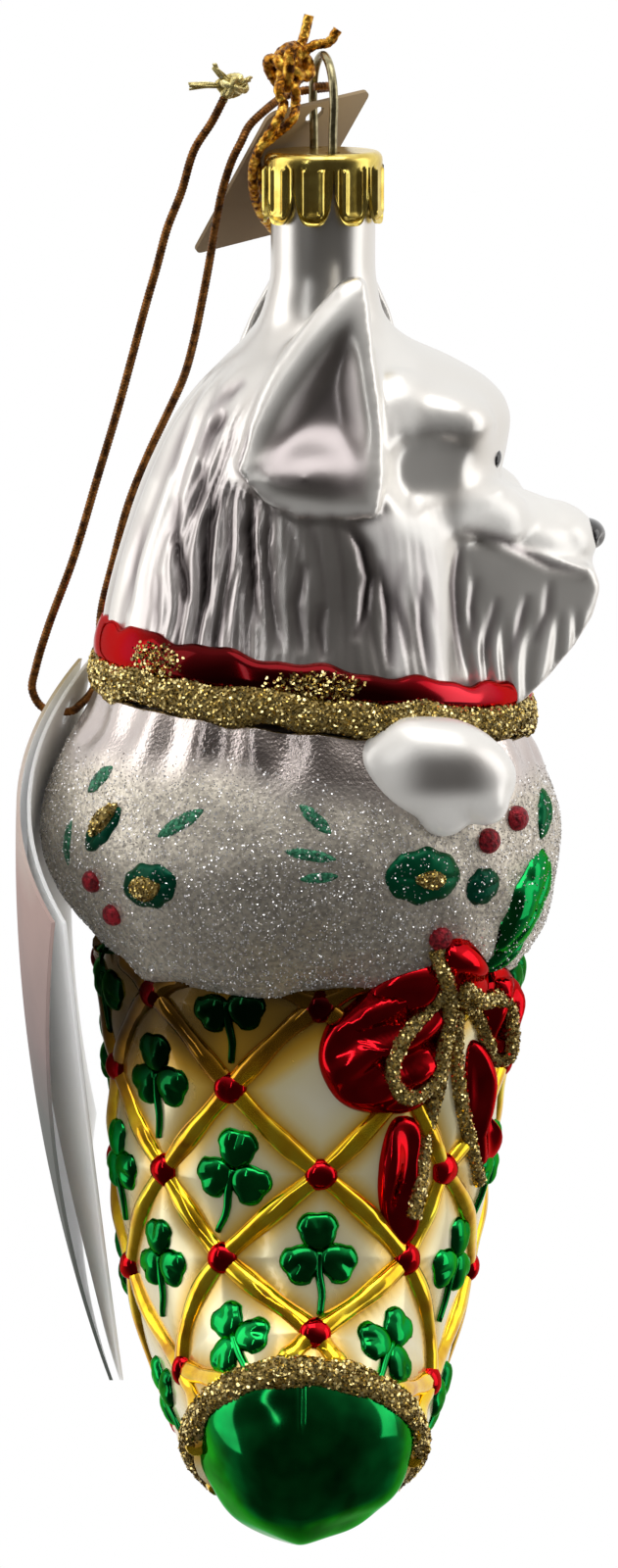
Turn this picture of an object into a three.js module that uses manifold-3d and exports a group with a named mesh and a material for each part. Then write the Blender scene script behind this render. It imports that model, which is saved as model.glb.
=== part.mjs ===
// A blown glass ornament: a dog's head looking out of a stocking, with its cap, wire loop, cords and tags.
// Millimetres. +Z is up, the dog looks along +X and the toe of the stocking points along -Y.
// The origin is the inside of the crown of the wire loop, the point that the ornament hangs from.
import * as THREE from 'three';
import { mergeVertices } from 'three/addons/utils/BufferGeometryUtils.js';
import Module from 'manifold-3d';

const wasm = await Module();
wasm.setup();

// Clearances
const seatGap = 0.3;
const tagGap = 0.3;

// Wire loop
const wireDiameter = 0.9;
const loopHeight = 9.5;
const loopHalfWidth = 4.2;
const loopTurn = THREE.MathUtils.degToRad(15);
const wireSides = 8;
const springLength = 15;

// Neck of the glass
const neckDiameter = 11.1;
const neckWall = 0.95;

// Crown cap
const capClearance = 0.35;
const capSheet = 0.35;
const capSkirt = 7.5;
const capShoulder = 0.9;
const capEdgeInset = 0.25;
const capEdgeDrop = 0.3;
const petalCount = 9;
const petalSteps = 6;
const petalPower = 3.2;

// Blown glass
const glassWall = 1.3;
const rays = 48;
const boreRays = 16;

// The red collar is a roll of glass
const collarRoll = 0.9;

// Lattice of raised ribs on the stocking
const latticeAround = 6;
const latticeRings = 8;
const stockingRingCount = 19;
const ribHeight = 0.6;
const beadHeight = 1.1;
const cloverHeight = 0.8;

// Glitter bands
const bandThickness = 0.8;
const collarBandWidth = 3.6;
const toeBandWidth = 2.8;

// Cords
const braidDiameter = 1.1;
const elasticDiameter = 0.95;
const cordSides = 8;

// Square tag
const tagWidth = 14.8;
const tagLength = 21.4;
const tagThickness = 0.4;
const tagHole = 2.5;
const tagHoleMargin = 1.9;
const tagCorner = 1.2;
const tagSteps = 4;

// Folded booklet tag
const leafWidth = 42;
const leafLength = 70;
const leafThickness = 0.4;
const leafHole = 2.8;
const leafHoleAcross = 5;
const leafHoleDown = 3.5;
const leafColumns = 10;
const leafRows = 12;
const foldGap = 0.35;

// Derived places
const neckRadius = neckDiameter / 2;
const capRadius = neckRadius + capClearance + capSheet;
const capTop = -loopHeight;
const neckTop = capTop - capShoulder - capSheet / 2;
const wireRadius = wireDiameter / 2;
const boreFlat = (neckRadius - neckWall) * Math.cos(Math.PI / boreRays);
const springReach = boreFlat - wireRadius - seatGap;

const vec = (x, y, z) => new THREE.Vector3(x, y, z);

// Materials
function finish(color, roughness, metalness) {
  return new THREE.MeshStandardMaterial({ color, roughness, metalness });
}

const pearlGlass = finish(0xe9e6e0, 0.15, 0.3);
const goldMetal = finish(0xd9a92c, 0.2, 1.0);
const wireMetal = finish(0x6d6032, 0.35, 1.0);
const goldGlitter = finish(0xb98d2a, 0.5, 0.7);
const braidGold = finish(0xc98a1f, 0.45, 0.8);
const elasticBrown = finish(0x6b3d14, 0.6, 0.3);
const tagCard = finish(0xa08a66, 0.55, 0.1);
const leafCard = finish(0xd9d4d2, 0.3, 0.0);

// A closed geometry from a list of points and triangles
function closedGeometry(points, triangles) {
  const geometry = new THREE.BufferGeometry();
  geometry.setAttribute('position', new THREE.Float32BufferAttribute(points.flatMap((p) => p.toArray()), 3));
  geometry.setIndex(triangles.flat());
  return geometry;
}

function signedVolume(points, triangles) {
  let sum = 0;
  for (const [a, b, c] of triangles) {
    sum += points[a].dot(vec(0, 0, 0).crossVectors(points[b], points[c]));
  }
  return sum;
}

function facingOut(points, triangles) {
  const out = signedVolume(points, triangles) > 0;
  return closedGeometry(points, out ? triangles : triangles.map(([a, b, c]) => [a, c, b]));
}

// A skin over rings of equal count, closed with a fan of triangles at each end
function loft(rings) {
  const count = rings[0].length;
  const points = rings.flat();
  const triangles = [];
  for (let k = 0; k + 1 < rings.length; k += 1) {
    for (let i = 0; i < count; i += 1) {
      const a = k * count + i;
      const b = k * count + (i + 1) % count;
      triangles.push([a, b, b + count], [a, b + count, a + count]);
    }
  }
  for (const [k, flip] of [[0, true], [rings.length - 1, false]]) {
    const middle = rings[k].reduce((sum, p) => sum.add(p), vec(0, 0, 0)).divideScalar(count);
    const tip = points.push(middle) - 1;
    for (let i = 0; i < count; i += 1) {
      const a = k * count + i;
      const b = k * count + (i + 1) % count;
      triangles.push(flip ? [tip, b, a] : [tip, a, b]);
    }
  }
  return facingOut(points, triangles);
}

// A skin over sections that stand round a closed ring
function closedBand(sections) {
  const count = sections[0].length;
  const points = sections.flat();
  const triangles = [];
  for (let k = 0; k < sections.length; k += 1) {
    const next = (k + 1) % sections.length;
    for (let i = 0; i < count; i += 1) {
      const j = (i + 1) % count;
      const a = k * count + i;
      const b = k * count + j;
      const c = next * count + j;
      const d = next * count + i;
      triangles.push([a, b, c], [a, c, d]);
    }
  }
  return facingOut(points, triangles);
}

// A thin sheet over a grid of places, given for each face of the sheet
function sheet(rows, columns, placeAt) {
  const points = [];
  const index = ([r, c], face) => (r * (columns + 1) + c) * 2 + face;
  for (let r = 0; r <= rows; r += 1) {
    for (let c = 0; c <= columns; c += 1) points.push(placeAt(r, c, 0), placeAt(r, c, 1));
  }
  const triangles = [];
  for (let r = 0; r < rows; r += 1) {
    for (let c = 0; c < columns; c += 1) {
      const corners = [[r, c], [r, c + 1], [r + 1, c + 1], [r + 1, c]];
      const [a, b, d, e] = corners.map((at) => index(at, 0));
      const [f, g, h, i] = corners.map((at) => index(at, 1));
      triangles.push([a, b, d], [a, d, e], [f, h, g], [f, i, h]);
    }
  }
  const across = Array.from({ length: columns }, (_, c) => c);
  const down = Array.from({ length: rows }, (_, r) => r);
  const edge = [
    ...across.map((c) => [0, c]),
    ...down.map((r) => [r, columns]),
    ...across.map((c) => [rows, columns - c]),
    ...down.map((r) => [rows - r, 0]),
  ];
  edge.forEach((from, k) => {
    const to = edge[(k + 1) % edge.length];
    triangles.push([index(to, 0), index(from, 0), index(from, 1)], [index(to, 0), index(from, 1), index(to, 1)]);
  });
  return facingOut(points, triangles);
}

// A round tube along hand-placed points
function tube(places, diameter, steps, sides = cordSides) {
  const curve = new THREE.CatmullRomCurve3(places.map((p) => vec(...p)), false, 'centripetal');
  const section = new THREE.Shape();
  for (let i = 0; i < sides; i += 1) {
    const turn = i * 2 * Math.PI / sides;
    section[i ? 'lineTo' : 'moveTo'](diameter / 2 * Math.cos(turn), diameter / 2 * Math.sin(turn));
  }
  return new THREE.ExtrudeGeometry(section, { steps, extrudePath: curve, curveSegments: 1 });
}

function ellipsoid(at, radii, turn = [0, 0, 0], across = 12, down = 8) {
  const geometry = new THREE.SphereGeometry(1, across, down);
  const rotation = new THREE.Euler(...turn.map(THREE.MathUtils.degToRad));
  const place = new THREE.Matrix4().compose(
    vec(...at), new THREE.Quaternion().setFromEuler(rotation), vec(...radii));
  return geometry.applyMatrix4(place);
}

// Joining and cutting
function solid(geometry) {
  const bare = geometry.clone();
  bare.deleteAttribute('normal');
  bare.deleteAttribute('uv');
  const merged = mergeVertices(bare, 1e-5);
  return new wasm.Manifold(new wasm.Mesh({
    numProp: 3,
    vertProperties: new Float32Array(merged.attributes.position.array),
    triVerts: new Uint32Array(merged.index.array),
  }));
}

function geometryOf(shape) {
  const mesh = shape.getMesh();
  const geometry = new THREE.BufferGeometry();
  geometry.setAttribute('position', new THREE.BufferAttribute(new Float32Array(mesh.vertProperties), 3));
  geometry.setIndex(new THREE.BufferAttribute(new Uint32Array(mesh.triVerts), 1));
  return geometry;
}

function piece(name, geometry, material) {
  const mesh = new THREE.Mesh(geometry, material);
  mesh.name = name;
  return mesh;
}

// The glass as stations from the neck to the toe. Each has its middle, and how far the glass
// reaches from there to the dog's face (+X), its back (-X), the viewer (-Y) and away (+Y).
function station(middle, face, back, near, far) {
  return { middle: vec(...middle), face: vec(...face), back: vec(...back), near: vec(...near), far: vec(...far) };
}

function level(z, x, face, back, depth) {
  return station([x, 0, z], [face - x, 0, 0], [back - x, 0, 0], [0, -depth, 0], [0, depth, 0]);
}

const neckFoot = -22.5;
const neckStations = [
  level(neckTop, 0, neckRadius, -neckRadius, neckRadius),
  level(neckFoot, 0, neckRadius, -neckRadius, neckRadius),
];

const headStations = [
  level(-26.6, 0, 6.4, -6.6, 6.5),
  level(-29.2, 0, 9.0, -8.4, 8.8),
  level(-31.4, 0, 13.8, -10.6, 11.8),
  level(-34.0, 0, 18.0, -13.0, 14.6),
  level(-37.0, 0, 19.8, -15.2, 16.6),
  level(-40.3, 0, 19.6, -17.2, 18.0),
  level(-44.0, 0, 18.8, -18.9, 18.9),
  level(-48.4, 0, 18.4, -20.5, 19.8),
  level(-53.0, -0.5, 19.0, -21.9, 20.6),
  level(-58.0, -1, 20.2, -23.1, 21.4),
];

// The collar leans: low at the throat and high at the nape, and rises a little over each shoulder
function leaning(napeX, napeZ, throatX, throatZ, depth, rise) {
  const middle = [(napeX + throatX) / 2, 0, (napeZ + throatZ) / 2];
  const half = [(throatX - napeX) / 2, 0, (throatZ - napeZ) / 2];
  return station(middle, half, half.map((v) => -v), [0, -depth, rise], [0, depth, rise]);
}

const collarStations = [
  leaning(-23.4, -59.6, 21.4, -64.2, 22.2, 1.6),
  leaning(-23.8, -60.6, 22.0, -65.2, 22.9 + collarRoll, 1.6),
  leaning(-24.4, -62.8, 22.2, -67.6, 23.2 + collarRoll, 1.9),
  leaning(-24.2, -65.2, 22.0, -69.9, 23.9, 1.9),
  leaning(-24.2, -67.4, 22.0, -72.0, 24.1, 1.8),
];

const cuffStations = [
  leaning(-25.4, -69.6, 23.2, -73.8, 25.2, 1.4),
  leaning(-28.0, -73.4, 24.6, -77.2, 26.8, 0.8),
  level(-79.6, -2.8, 25.3, -29.9, 28.0),
  level(-84.2, -2.8, 25.4, -29.8, 27.8),
  level(-88.6, -2.8, 24.8, -28.3, 26.4),
  level(-92.6, -2.6, 23.8, -25.2, 24.2),
  level(-95.6, -2.4, 22.4, -23.4, 21.8),
];

// The stocking turns about the instep: each ring runs from the shin side to the heel side
function turning(nearY, nearZ, farY, farZ, face, back) {
  const middle = vec(-2.4, (nearY + farY) / 2, (nearZ + farZ) / 2);
  const half = [0, (nearY - farY) / 2, (nearZ - farZ) / 2];
  return station(middle.toArray(), [face + 2.4, 0, 0], [back + 2.4, 0, 0], half, half.map((v) => -v));
}

const toeRingNear = [-28.6, -133.6];
const toeRingFar = [-15.8, -155.8];
const stockingStations = [
  turning(-20.6, -98, 20.2, -98, 20.6, -23.8),
  turning(-20.4, -105, 20.2, -107, 19.5, -22.9),
  turning(-20.2, -112, 20.0, -117, 18.5, -22.5),
  turning(-20.4, -118, 19.9, -127, 17.4, -22.2),
  turning(-21.4, -123.5, 19.2, -137, 15.8, -21.2),
  turning(-23.4, -127.6, 15.4, -147.2, 14.0, -19.2),
  turning(-25.6, -130.6, 5.0, -154.2, 12.2, -17.0),
  turning(...toeRingNear, ...toeRingFar, 10.6, -15.0),
];

// Stations between the given ones, spaced evenly by count
function between(stations, count) {
  const out = [];
  const fields = ['middle', 'face', 'back', 'near', 'far'];
  const curves = fields.map((f) => new THREE.CatmullRomCurve3(stations.map((s) => s[f]), false, 'catmullrom', 0.5));
  for (let k = 0; k < count; k += 1) {
    const t = k / (count - 1);
    out.push(Object.fromEntries(fields.map((f, i) => [f, curves[i].getPoint(t)])));
  }
  return out;
}

function ringPoint(s, turn, grow = 0) {
  const c = Math.cos(turn);
  const d = Math.sin(turn);
  const along = (c > 0 ? s.face : s.back).clone().multiplyScalar(Math.abs(c));
  const across = (d > 0 ? s.far : s.near).clone().multiplyScalar(Math.abs(d));
  const reach = along.add(across);
  return reach.setLength(reach.length() + grow).add(s.middle);
}

function ring(s, count, grow = () => 0) {
  return Array.from({ length: count }, (_, i) => ringPoint(s, i * 2 * Math.PI / count, grow(i)));
}

// How far the lattice, its beads and its clovers stand up at a ray of a stocking ring
function relief(ringIndex, ray) {
  const perDiamond = rays / latticeAround;
  if (ringIndex > stockingRingCount - 3) return 0;
  const fall = (ringIndex + ray) % latticeRings === 0;
  const rise = (ringIndex - ray + rays) % latticeRings === 0;
  if (fall && rise) return beadHeight;
  if (fall || rise) return ribHeight;
  const row = (ringIndex + latticeRings / 2) % latticeRings;
  const column = ray % perDiamond;
  const inUpper = ringIndex % latticeRings === 0 && column === perDiamond / 2;
  const inLower = row === 0 && column === 0;
  return inUpper || inLower ? cloverHeight : 0;
}

const stockingRings = between(stockingStations, stockingRingCount);
const toeRing = stockingStations.at(-1);
const toeAxis = vec(0, toeRingFar[1] - toeRingNear[1], toeRingNear[0] - toeRingFar[0]).normalize();
const toeReach = 8.2;

// The toe beyond its ring is a dome
function toeDome(steps) {
  const out = [];
  for (let k = 1; k < steps; k += 1) {
    const turn = k / steps * Math.PI / 2;
    const shrink = Math.cos(turn);
    const s = Object.fromEntries(['face', 'back', 'near', 'far'].map((f) => [f, toeRing[f].clone().multiplyScalar(shrink)]));
    s.middle = toeRing.middle.clone().addScaledVector(toeAxis, toeReach * Math.sin(turn));
    out.push(s);
  }
  return out;
}

const upperRings = [...neckStations, ...headStations, ...collarStations, ...cuffStations];
const domeRings = toeDome(5);
const domeTip = { ...domeRings.at(-1), middle: toeRing.middle.clone().addScaledVector(toeAxis, toeReach) };

function shrunk(s, scale) {
  const out = { middle: s.middle };
  for (const f of ['face', 'back', 'near', 'far']) out[f] = s[f].clone().multiplyScalar(scale);
  return out;
}

function glassOutside() {
  const rings = [
    ...upperRings.map((s) => ring(s, rays)),
    ...stockingRings.map((s, k) => ring(s, rays, (i) => relief(k, i))),
    ...domeRings.map((s) => ring(s, rays)),
    ring(shrunk(domeTip, 0.12), rays),
  ];
  return loft(rings);
}

function glassBore() {
  const wall = (s) => ring(s, boreRays, () => -glassWall);
  const neckBore = neckStations.map((s) => ring(s, boreRays, () => -neckWall));
  const mouth = neckBore[0].map((p) => p.clone().add(vec(0, 0, 1)));
  const last = stockingRings.at(-1);
  const end = shrunk(last, 0.6);
  end.middle = last.middle.clone().addScaledVector(toeAxis, toeReach * 0.6);
  return loft([
    mouth,
    ...neckBore,
    ...[...headStations, ...collarStations, ...cuffStations].filter((_, k) => k % 2 === 0).map(wall),
    ...stockingRings.filter((_, k) => k % 3 === 0).map(wall),
    ring(end, boreRays),
  ]);
}

// A dog's ear: a plate with an outline of [x, z] places, thin at its tip and thick at its foot, with a
// scooped face. Its back and its face lie so far from the middle of the head at the tip, and lean so much.
function ear(side, outline, scoopOutline, back, face) {
  const plate = (places, inner, outer) => {
    const at = (side > 0 ? places : [...places].reverse());
    const rows = [inner, outer].map(([reach, lean]) => at.map(([x, z]) => vec(x, side * (reach - lean * (z - earTipZ)), z)));
    return loft(rows);
  };
  const scoop = plate(scoopOutline, [face[0] - scoopDepth, face[1]], [face[0] + scoopDepth, face[1]]);
  return solid(plate(outline, back, face)).subtract(solid(scoop));
}

const earTipZ = -24;
const scoopDepth = 2.4;
const nearEar = [
  [3.2, -24.4], [-0.2, -26.0], [-2.2, -28.0], [-4.9, -30.9], [-7.8, -36.3], [-8.9, -41.0],
  [-6.0, -43.4], [-2.9, -45.0], [1.8, -45.1], [5.2, -45.0], [6.3, -41.0], [5.7, -35.6], [4.8, -30.5], [4.0, -26.3],
];
const nearScoop = [[2.4, -27.6], [-0.6, -31.0], [-3.4, -36.4], [-4.6, -41.2], [0.2, -42.8], [3.8, -42.4], [3.9, -35.4]];
const farEar = [
  [0.4, -17.8], [-3.0, -20.4], [-5.6, -24.0], [-7.6, -27.6], [-9.1, -31.1], [-9.6, -37.0],
  [-9.0, -41.5], [-5.0, -44.6], [1.8, -45.2], [6.1, -44.6], [7.8, -38.0], [8.1, -31.1], [5.6, -24.0], [3.6, -20.4],
];
const farScoop = [[0.6, -22.2], [-3.0, -27.0], [-5.4, -33.5], [-5.8, -39.5], [0.4, -42.6], [4.2, -41.4], [5.0, -31.0]];

// How far the head reaches sideways at a place seen from the side
function headReach(x, z) {
  const stations = [...headStations, collarStations[0]];
  const above = stations.findIndex((s, i) => i + 1 < stations.length && stations[i + 1].middle.z < z);
  const k = Math.max(above, 0);
  const [a, b] = [stations[k], stations[Math.min(k + 1, stations.length - 1)]];
  const t = THREE.MathUtils.clamp((a.middle.z - z) / (a.middle.z - b.middle.z), 0, 1);
  const s = { middle: a.middle.clone().lerp(b.middle, t), far: a.far.clone().lerp(b.far, t) };
  const end = x > s.middle.x ? a.face.clone().lerp(b.face, t).x : a.back.clone().lerp(b.back, t).x;
  return s.far.y * Math.sqrt(Math.max(0, 1 - ((x - s.middle.x) / end) ** 2));
}

// Grooves between the locks of the coat, as [x, z] places seen from the side
const coatGrooves = [
  [[-4.6, -33.6], [-7.0, -36.8], [-9.6, -41.2]],
  [[-10.3, -35.2], [-12.4, -38.2], [-13.6, -41.6]],
  [[-15.2, -44.8], [-15.4, -49.0], [-14.4, -55.0]],
  [[-10.6, -44.0], [-12.2, -48.4], [-12.0, -55.6]],
  [[-6.8, -46.8], [-7.6, -50.4], [-7.0, -57.0]],
  [[-2.0, -48.6], [-2.8, -53.4], [-2.2, -59.4]],
  [[2.2, -47.2], [4.7, -51.6], [3.4, -58.2]],
  [[6.0, -49.4], [7.0, -54.6], [7.4, -60.4]],
  [[10.4, -50.6], [10.3, -56.0], [11.0, -61.0]],
];
const grooveWidth = 1.7;

function grooves(side) {
  return coatGrooves.map((line) => {
    const places = line.map(([x, z], i) => [x, side * (headReach(x, z) + (i === 1 ? 0 : 0.35)), z]);
    return solid(tube(places, grooveWidth, 5, 5));
  });
}

// Raised forms of the mould, each joined to the glass
function mouldedForms() {
  const forms = [
    ear(-1, nearEar, nearScoop, [8.6, -0.1], [12.4, 0.35]),
    ear(1, farEar, farScoop, [9.2, 0.1], [12.8, 0.32]),
    solid(ellipsoid([19.2, 0, -50.4], [9.6, 7.4, 5.2], [0, 14, 0], 16, 10)),
    solid(ellipsoid([28.1, 0, -50.4], [2.3, 2.8, 2.1])),
    solid(ellipsoid([18.6, 0, -58.0], [10.2, 9.6, 8.6], [0, 0, 0], 16, 10)),
  ];
  for (const side of [-1, 1]) {
    forms.push(solid(ellipsoid([12.8, side * 9.4, -36.8], [5.4, 6.6, 2.9], [0, 10, 0], 12, 8)));
    forms.push(solid(ellipsoid([13.2, side * 8.2, -46.4], [6.2, 6.4, 2.6], [0, -20, 0], 12, 8)));
    forms.push(solid(ellipsoid([6.6, side * 9.6, -33.6], [3.1, 4.4, 5.4], [0, 12, 0], 12, 8)));
  }
  for (const side of [-1, 1]) {
    forms.push(solid(ellipsoid([12.6, side * 22.2, -73.6], [7.2, 4.4, 4.3])));
  }
  const bow = [
    [[5.0, -20.6, -98.6], [5.6, 2.2, 8.6], [0, 18, -6]],
    [[18.6, -13.4, -98.6], [3.0, 2.4, 6.2], [0, -8, 40]],
    [[14.2, -17.6, -92.6], [2.6, 2.8, 3.0], [0, 0, 0]],
    [[10.2, -19.6, -111.5], [2.0, 1.3, 12.6], [0, 14, 0]],
    [[16.2, -12.6, -107.5], [2.0, 1.3, 12.4], [0, -8, 30]],
  ];
  for (const [at, radii, turn] of bow) forms.push(solid(ellipsoid(at, radii, turn)));
  const leaves = [
    [[21.4, -13.4, -87.6], [4.2, 1.6, 6.0], [0, 20, 48]],
    [[15.4, -19.6, -85.0], [3.8, 1.6, 2.8], [0, -20, 34]],
    [[8.6, -24.4, -84.6], [5.0, 1.5, 3.2], [0, 25, 20]],
    [[-17.2, -20.6, -85.0], [4.6, 1.5, 2.6], [0, -35, -38]],
  ];
  for (const [at, radii, turn] of leaves) forms.push(solid(ellipsoid(at, radii, turn, 10, 6)));
  const berries = [[17.6, -18.8, -80.6], [-22.8, -16.6, -84.4], [-20.2, -17.2, -88.4], [12.4, -20.9, -88.9]];
  for (const at of berries) forms.push(solid(ellipsoid(at, [1.6, 1.4, 1.6], [0, 0, 0], 8, 6)));
  return forms;
}

function glassBody() {
  let glass = solid(glassOutside());
  for (const side of [-1, 1]) {
    for (const groove of grooves(side)) glass = glass.subtract(groove);
  }
  for (const form of mouldedForms()) glass = glass.add(form);
  return piece('glass_body', geometryOf(glass.subtract(solid(glassBore()))), pearlGlass);
}

// The cap: a thin drawn cup with its skirt cut into round petals
function capRing(radius, z) {
  const count = petalCount * petalSteps;
  return Array.from({ length: count }, (_, i) => {
    const turn = i * 2 * Math.PI / count;
    return vec(radius * Math.cos(turn), radius * Math.sin(turn), typeof z === 'function' ? z(i) : z);
  });
}

function petalEdge(i) {
  const across = Math.abs((i % petalSteps) / petalSteps * 2 - 1);
  const drop = Math.sqrt(1 - across ** petalPower);
  return capTop - capShoulder - 0.6 - (capSkirt - capShoulder - 0.6) * drop;
}

const wireHoleRadius = wireRadius + 0.35;

function wireHoles(fromZ, toZ) {
  return [-1, 1].map((side) => {
    const hole = new THREE.CylinderGeometry(wireHoleRadius, wireHoleRadius, toZ - fromZ, 12);
    hole.rotateX(Math.PI / 2);
    const reach = side * springReach;
    hole.translate(-reach * Math.sin(loopTurn), reach * Math.cos(loopTurn), (fromZ + toZ) / 2);
    return solid(hole);
  });
}

function ornamentCap() {
  const inner = capRadius - capSheet;
  const rings = [
    capRing(0.4, capTop),
    capRing(capRadius - capShoulder, capTop),
    capRing(capRadius - capEdgeInset, capTop - capEdgeDrop),
    capRing(capRadius, capTop - capShoulder),
    capRing(capRadius, petalEdge),
    capRing(inner, petalEdge),
    capRing(inner, capTop - capShoulder),
    capRing(capRadius - capShoulder, capTop - capSheet),
    capRing(0.4, capTop - capSheet),
  ];
  let cap = solid(loft(rings));
  for (const hole of wireHoles(capTop - capSheet - 1, capTop + 1)) cap = cap.subtract(hole);
  return piece('ornament_cap', geometryOf(cap), goldMetal);
}

// The hanging wire: a loop above the cap, and two spring legs that grip the neck from inside
function hangerWire() {
  const half = [
    [springReach - 0.5, capTop - springLength],
    [springReach, capTop - springLength + 2.5],
    [springReach, capTop - 5],
    [springReach, capTop],
    [springReach + 0.15, capTop + 0.32 * loopHeight],
    [loopHalfWidth, capTop + 0.56 * loopHeight],
    [loopHalfWidth - 0.5, capTop + 0.79 * loopHeight],
    [loopHalfWidth - 2.0, capTop + 0.97 * loopHeight],
  ];
  const crown = [0, wireRadius];
  const outline = [...half, crown, ...half.map(([s, z]) => [-s, z]).reverse()];
  const places = outline.map(([s, z]) => [-s * Math.sin(loopTurn), s * Math.cos(loopTurn), z]);
  return piece('hanger_wire', tube(places, wireDiameter, 42, wireSides), wireMetal);
}

// The station at a place along a list of them, where the glass runs straight from one to the next
function stationAt(stations, place) {
  const k = Math.min(Math.floor(place), stations.length - 2);
  const [a, b] = [stations[k], stations[k + 1]];
  return Object.fromEntries(Object.keys(a).map((f) => [f, a[f].clone().lerp(b[f], place - k)]));
}

// A band of glitter round the glass, in the middle of a list of stations
function glitterBand(name, stations, width) {
  const length = stations[0].middle.distanceTo(stations.at(-1).middle);
  const last = stations.length - 1;
  const offsets = [-0.5, 0, 0.5].map((v) => stationAt(stations, last / 2 + v * last * width / length));
  const sections = Array.from({ length: rays }, (_, i) => {
    const turn = i * 2 * Math.PI / rays;
    const under = offsets.map((s) => ringPoint(s, turn, seatGap));
    const over = offsets.map((s, k) => ringPoint(s, turn, seatGap + (k === 1 ? bandThickness : bandThickness * 0.6)));
    return [...under, ...over.reverse()];
  });
  return piece(name, closedBand(sections), goldGlitter);
}

// The braid: a hanging loop of gold cord that has fallen over the nape, with its knot at the wire
const braidRoute = [
  [-4.1, -1.7, -4.4],
  [-4.5, -3.1, -5.6],
  [-5.7, -3.2, -7.6],
  [-6.9, -2.1, -9.6],
  [-7.4, -0.1, -11.6],
  [-7.3, 2.2, -14.2],
  [-6.6, 5.2, -16.6],
  [-5.4, 9.0, -18.6],
  [-4.6, 12.6, -20.8],
  [-4.2, 15.4, -24.2],
  [-4.0, 17.0, -28.0],
  [-3.6, 18.2, -32.0],
  [-2.6, 19.0, -36.0],
  [-0.9, 19.6, -38.6],
  [1.2, 19.5, -38.2],
  [2.6, 18.8, -35.0],
  [2.6, 17.9, -31.0],
  [2.0, 16.6, -27.0],
  [0.8, 15.2, -23.4],
  [-1.2, 13.8, -20.2],
  [-3.2, 11.0, -17.6],
  [-5.0, 6.8, -15.8],
  [-6.3, 3.9, -13.9],
  [-6.9, 1.8, -11.8],
  [-7.1, 0.6, -10.6],
  [-6.7, -0.5, -9.3],
  [-5.3, -1.2, -8.0],
  [-3.2, -2.6, -6.0],
  [-2.9, -1.1, -4.6],
];

const braidKnotAt = [-3.6, 0.4, -0.9];

function knot(at, radii, ends, diameter) {
  let shape = solid(ellipsoid(at, radii, [0, 0, 0], 12, 8));
  for (const end of ends) shape = shape.add(solid(tube([at, ...end], diameter, 5)));
  return geometryOf(shape);
}

function braidKnot() {
  const ends = [
    [[-2.2, 1.6, 1.8], [-1.5, 1.8, 4.5]],
    [[-1.0, 0.6, 1.4], [0.6, 0.0, 1.8], [1.5, 0.0, 3.1]],
  ];
  return piece('braid_knot', knot(braidKnotAt, [2.5, 2.3, 3.2], ends, braidDiameter), braidGold);
}

// The elastic: one closed loop that hooks round the wire and carries the booklet
const elasticRoute = [
  [-10.4, 1.5, -4.1],
  [-11.7, 1.5, -6.6],
  [-13.6, 1.5, -9.6],
  [-15.0, 1.8, -14.1],
  [-16.5, 2.0, -17.9],
  [-17.6, 2.3, -21.9],
  [-18.8, 2.5, -26.0],
  [-20.4, 3.0, -31.9],
  [-21.9, 3.0, -37.3],
  [-24.2, 3.5, -44.9],
  [-26.8, 4.0, -53.5],
  [-29.6, 4.5, -61.0],
  [-31.0, 4.9, -65.6],
  [-31.4, 5.2, -68.0],
  [-30.4, 5.4, -69.9],
  [-28.6, 5.5, -70.4],
  [-27.1, 5.7, -70.4],
  [-26.3, 6.7, -69.9],
  [-25.2, 8.0, -68.9],
  [-24.5, 9.2, -67.6],
  [-24.3, 10.7, -65.4],
  [-24.2, 12.4, -60.8],
  [-22.8, 13.0, -55.0],
  [-21.2, 12.6, -49.0],
  [-19.0, 11.6, -43.4],
  [-16.8, 9.6, -38.6],
  [-14.9, 7.4, -34.2],
  [-13.8, 5.5, -30.2],
  [-12.9, 4.5, -25.9],
  [-12.1, 3.3, -21.7],
  [-11.4, 2.3, -17.6],
  [-10.6, 1.3, -13.7],
  [-9.6, 0.9, -10.6],
  [-8.7, 1.0, -8.8],
  [-7.8, 1.9, -7.1],
  [-6.2, 2.9, -5.6],
  [-4.4, 5.0, -4.4],
  [-2.6, 6.2, -3.8],
  [-0.6, 6.1, -3.5],
  [0.9, 4.6, -3.2],
  [0.5, 2.9, -3.0],
  [-0.9, 2.2, -3.0],
];

function elasticKnot() {
  const at = [-9.6, 1.5, -2.9];
  const ends = [
    [[-11.6, 1.2, -2.7], [-13.9, 1.0, -2.9]],
    [[-10.6, 1.2, -1.8], [-11.4, 1.0, -0.8]],
    [[-8.0, 1.5, -2.6], [-6.6, 1.4, -2.0]],
  ];
  return piece('elastic_knot', knot(at, [1.4, 1.1, 1.1], ends, elasticDiameter), elasticBrown);
}

// The square tag: threaded on the far leg of the wire, leaning on the rim of the cap
const tagAcross = vec(0.725, 0.677, 0.122).normalize();
const tagDown = vec(-0.388, 0.551, -0.738).normalize();
const tagOut = vec(0, 0, 0).crossVectors(tagAcross, tagDown).normalize();

// How far out the tag's plane lies so that it clears the rim of the cap
function tagPlane() {
  const edgeRadius = capRadius - capEdgeInset;
  const edgeZ = capTop - capEdgeDrop;
  const sideways = Math.hypot(tagOut.x, tagOut.y);
  return edgeRadius * sideways + tagOut.z * edgeZ + tagGap + tagThickness / 2;
}

// The tag's hole is where the far leg of the wire passes through its plane
function tagHoleAt() {
  const reach = springReach + 0.2;
  const x = -reach * Math.sin(loopTurn);
  const y = reach * Math.cos(loopTurn);
  return vec(x, y, (tagPlane() - tagOut.x * x - tagOut.y * y) / tagOut.z);
}

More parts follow.
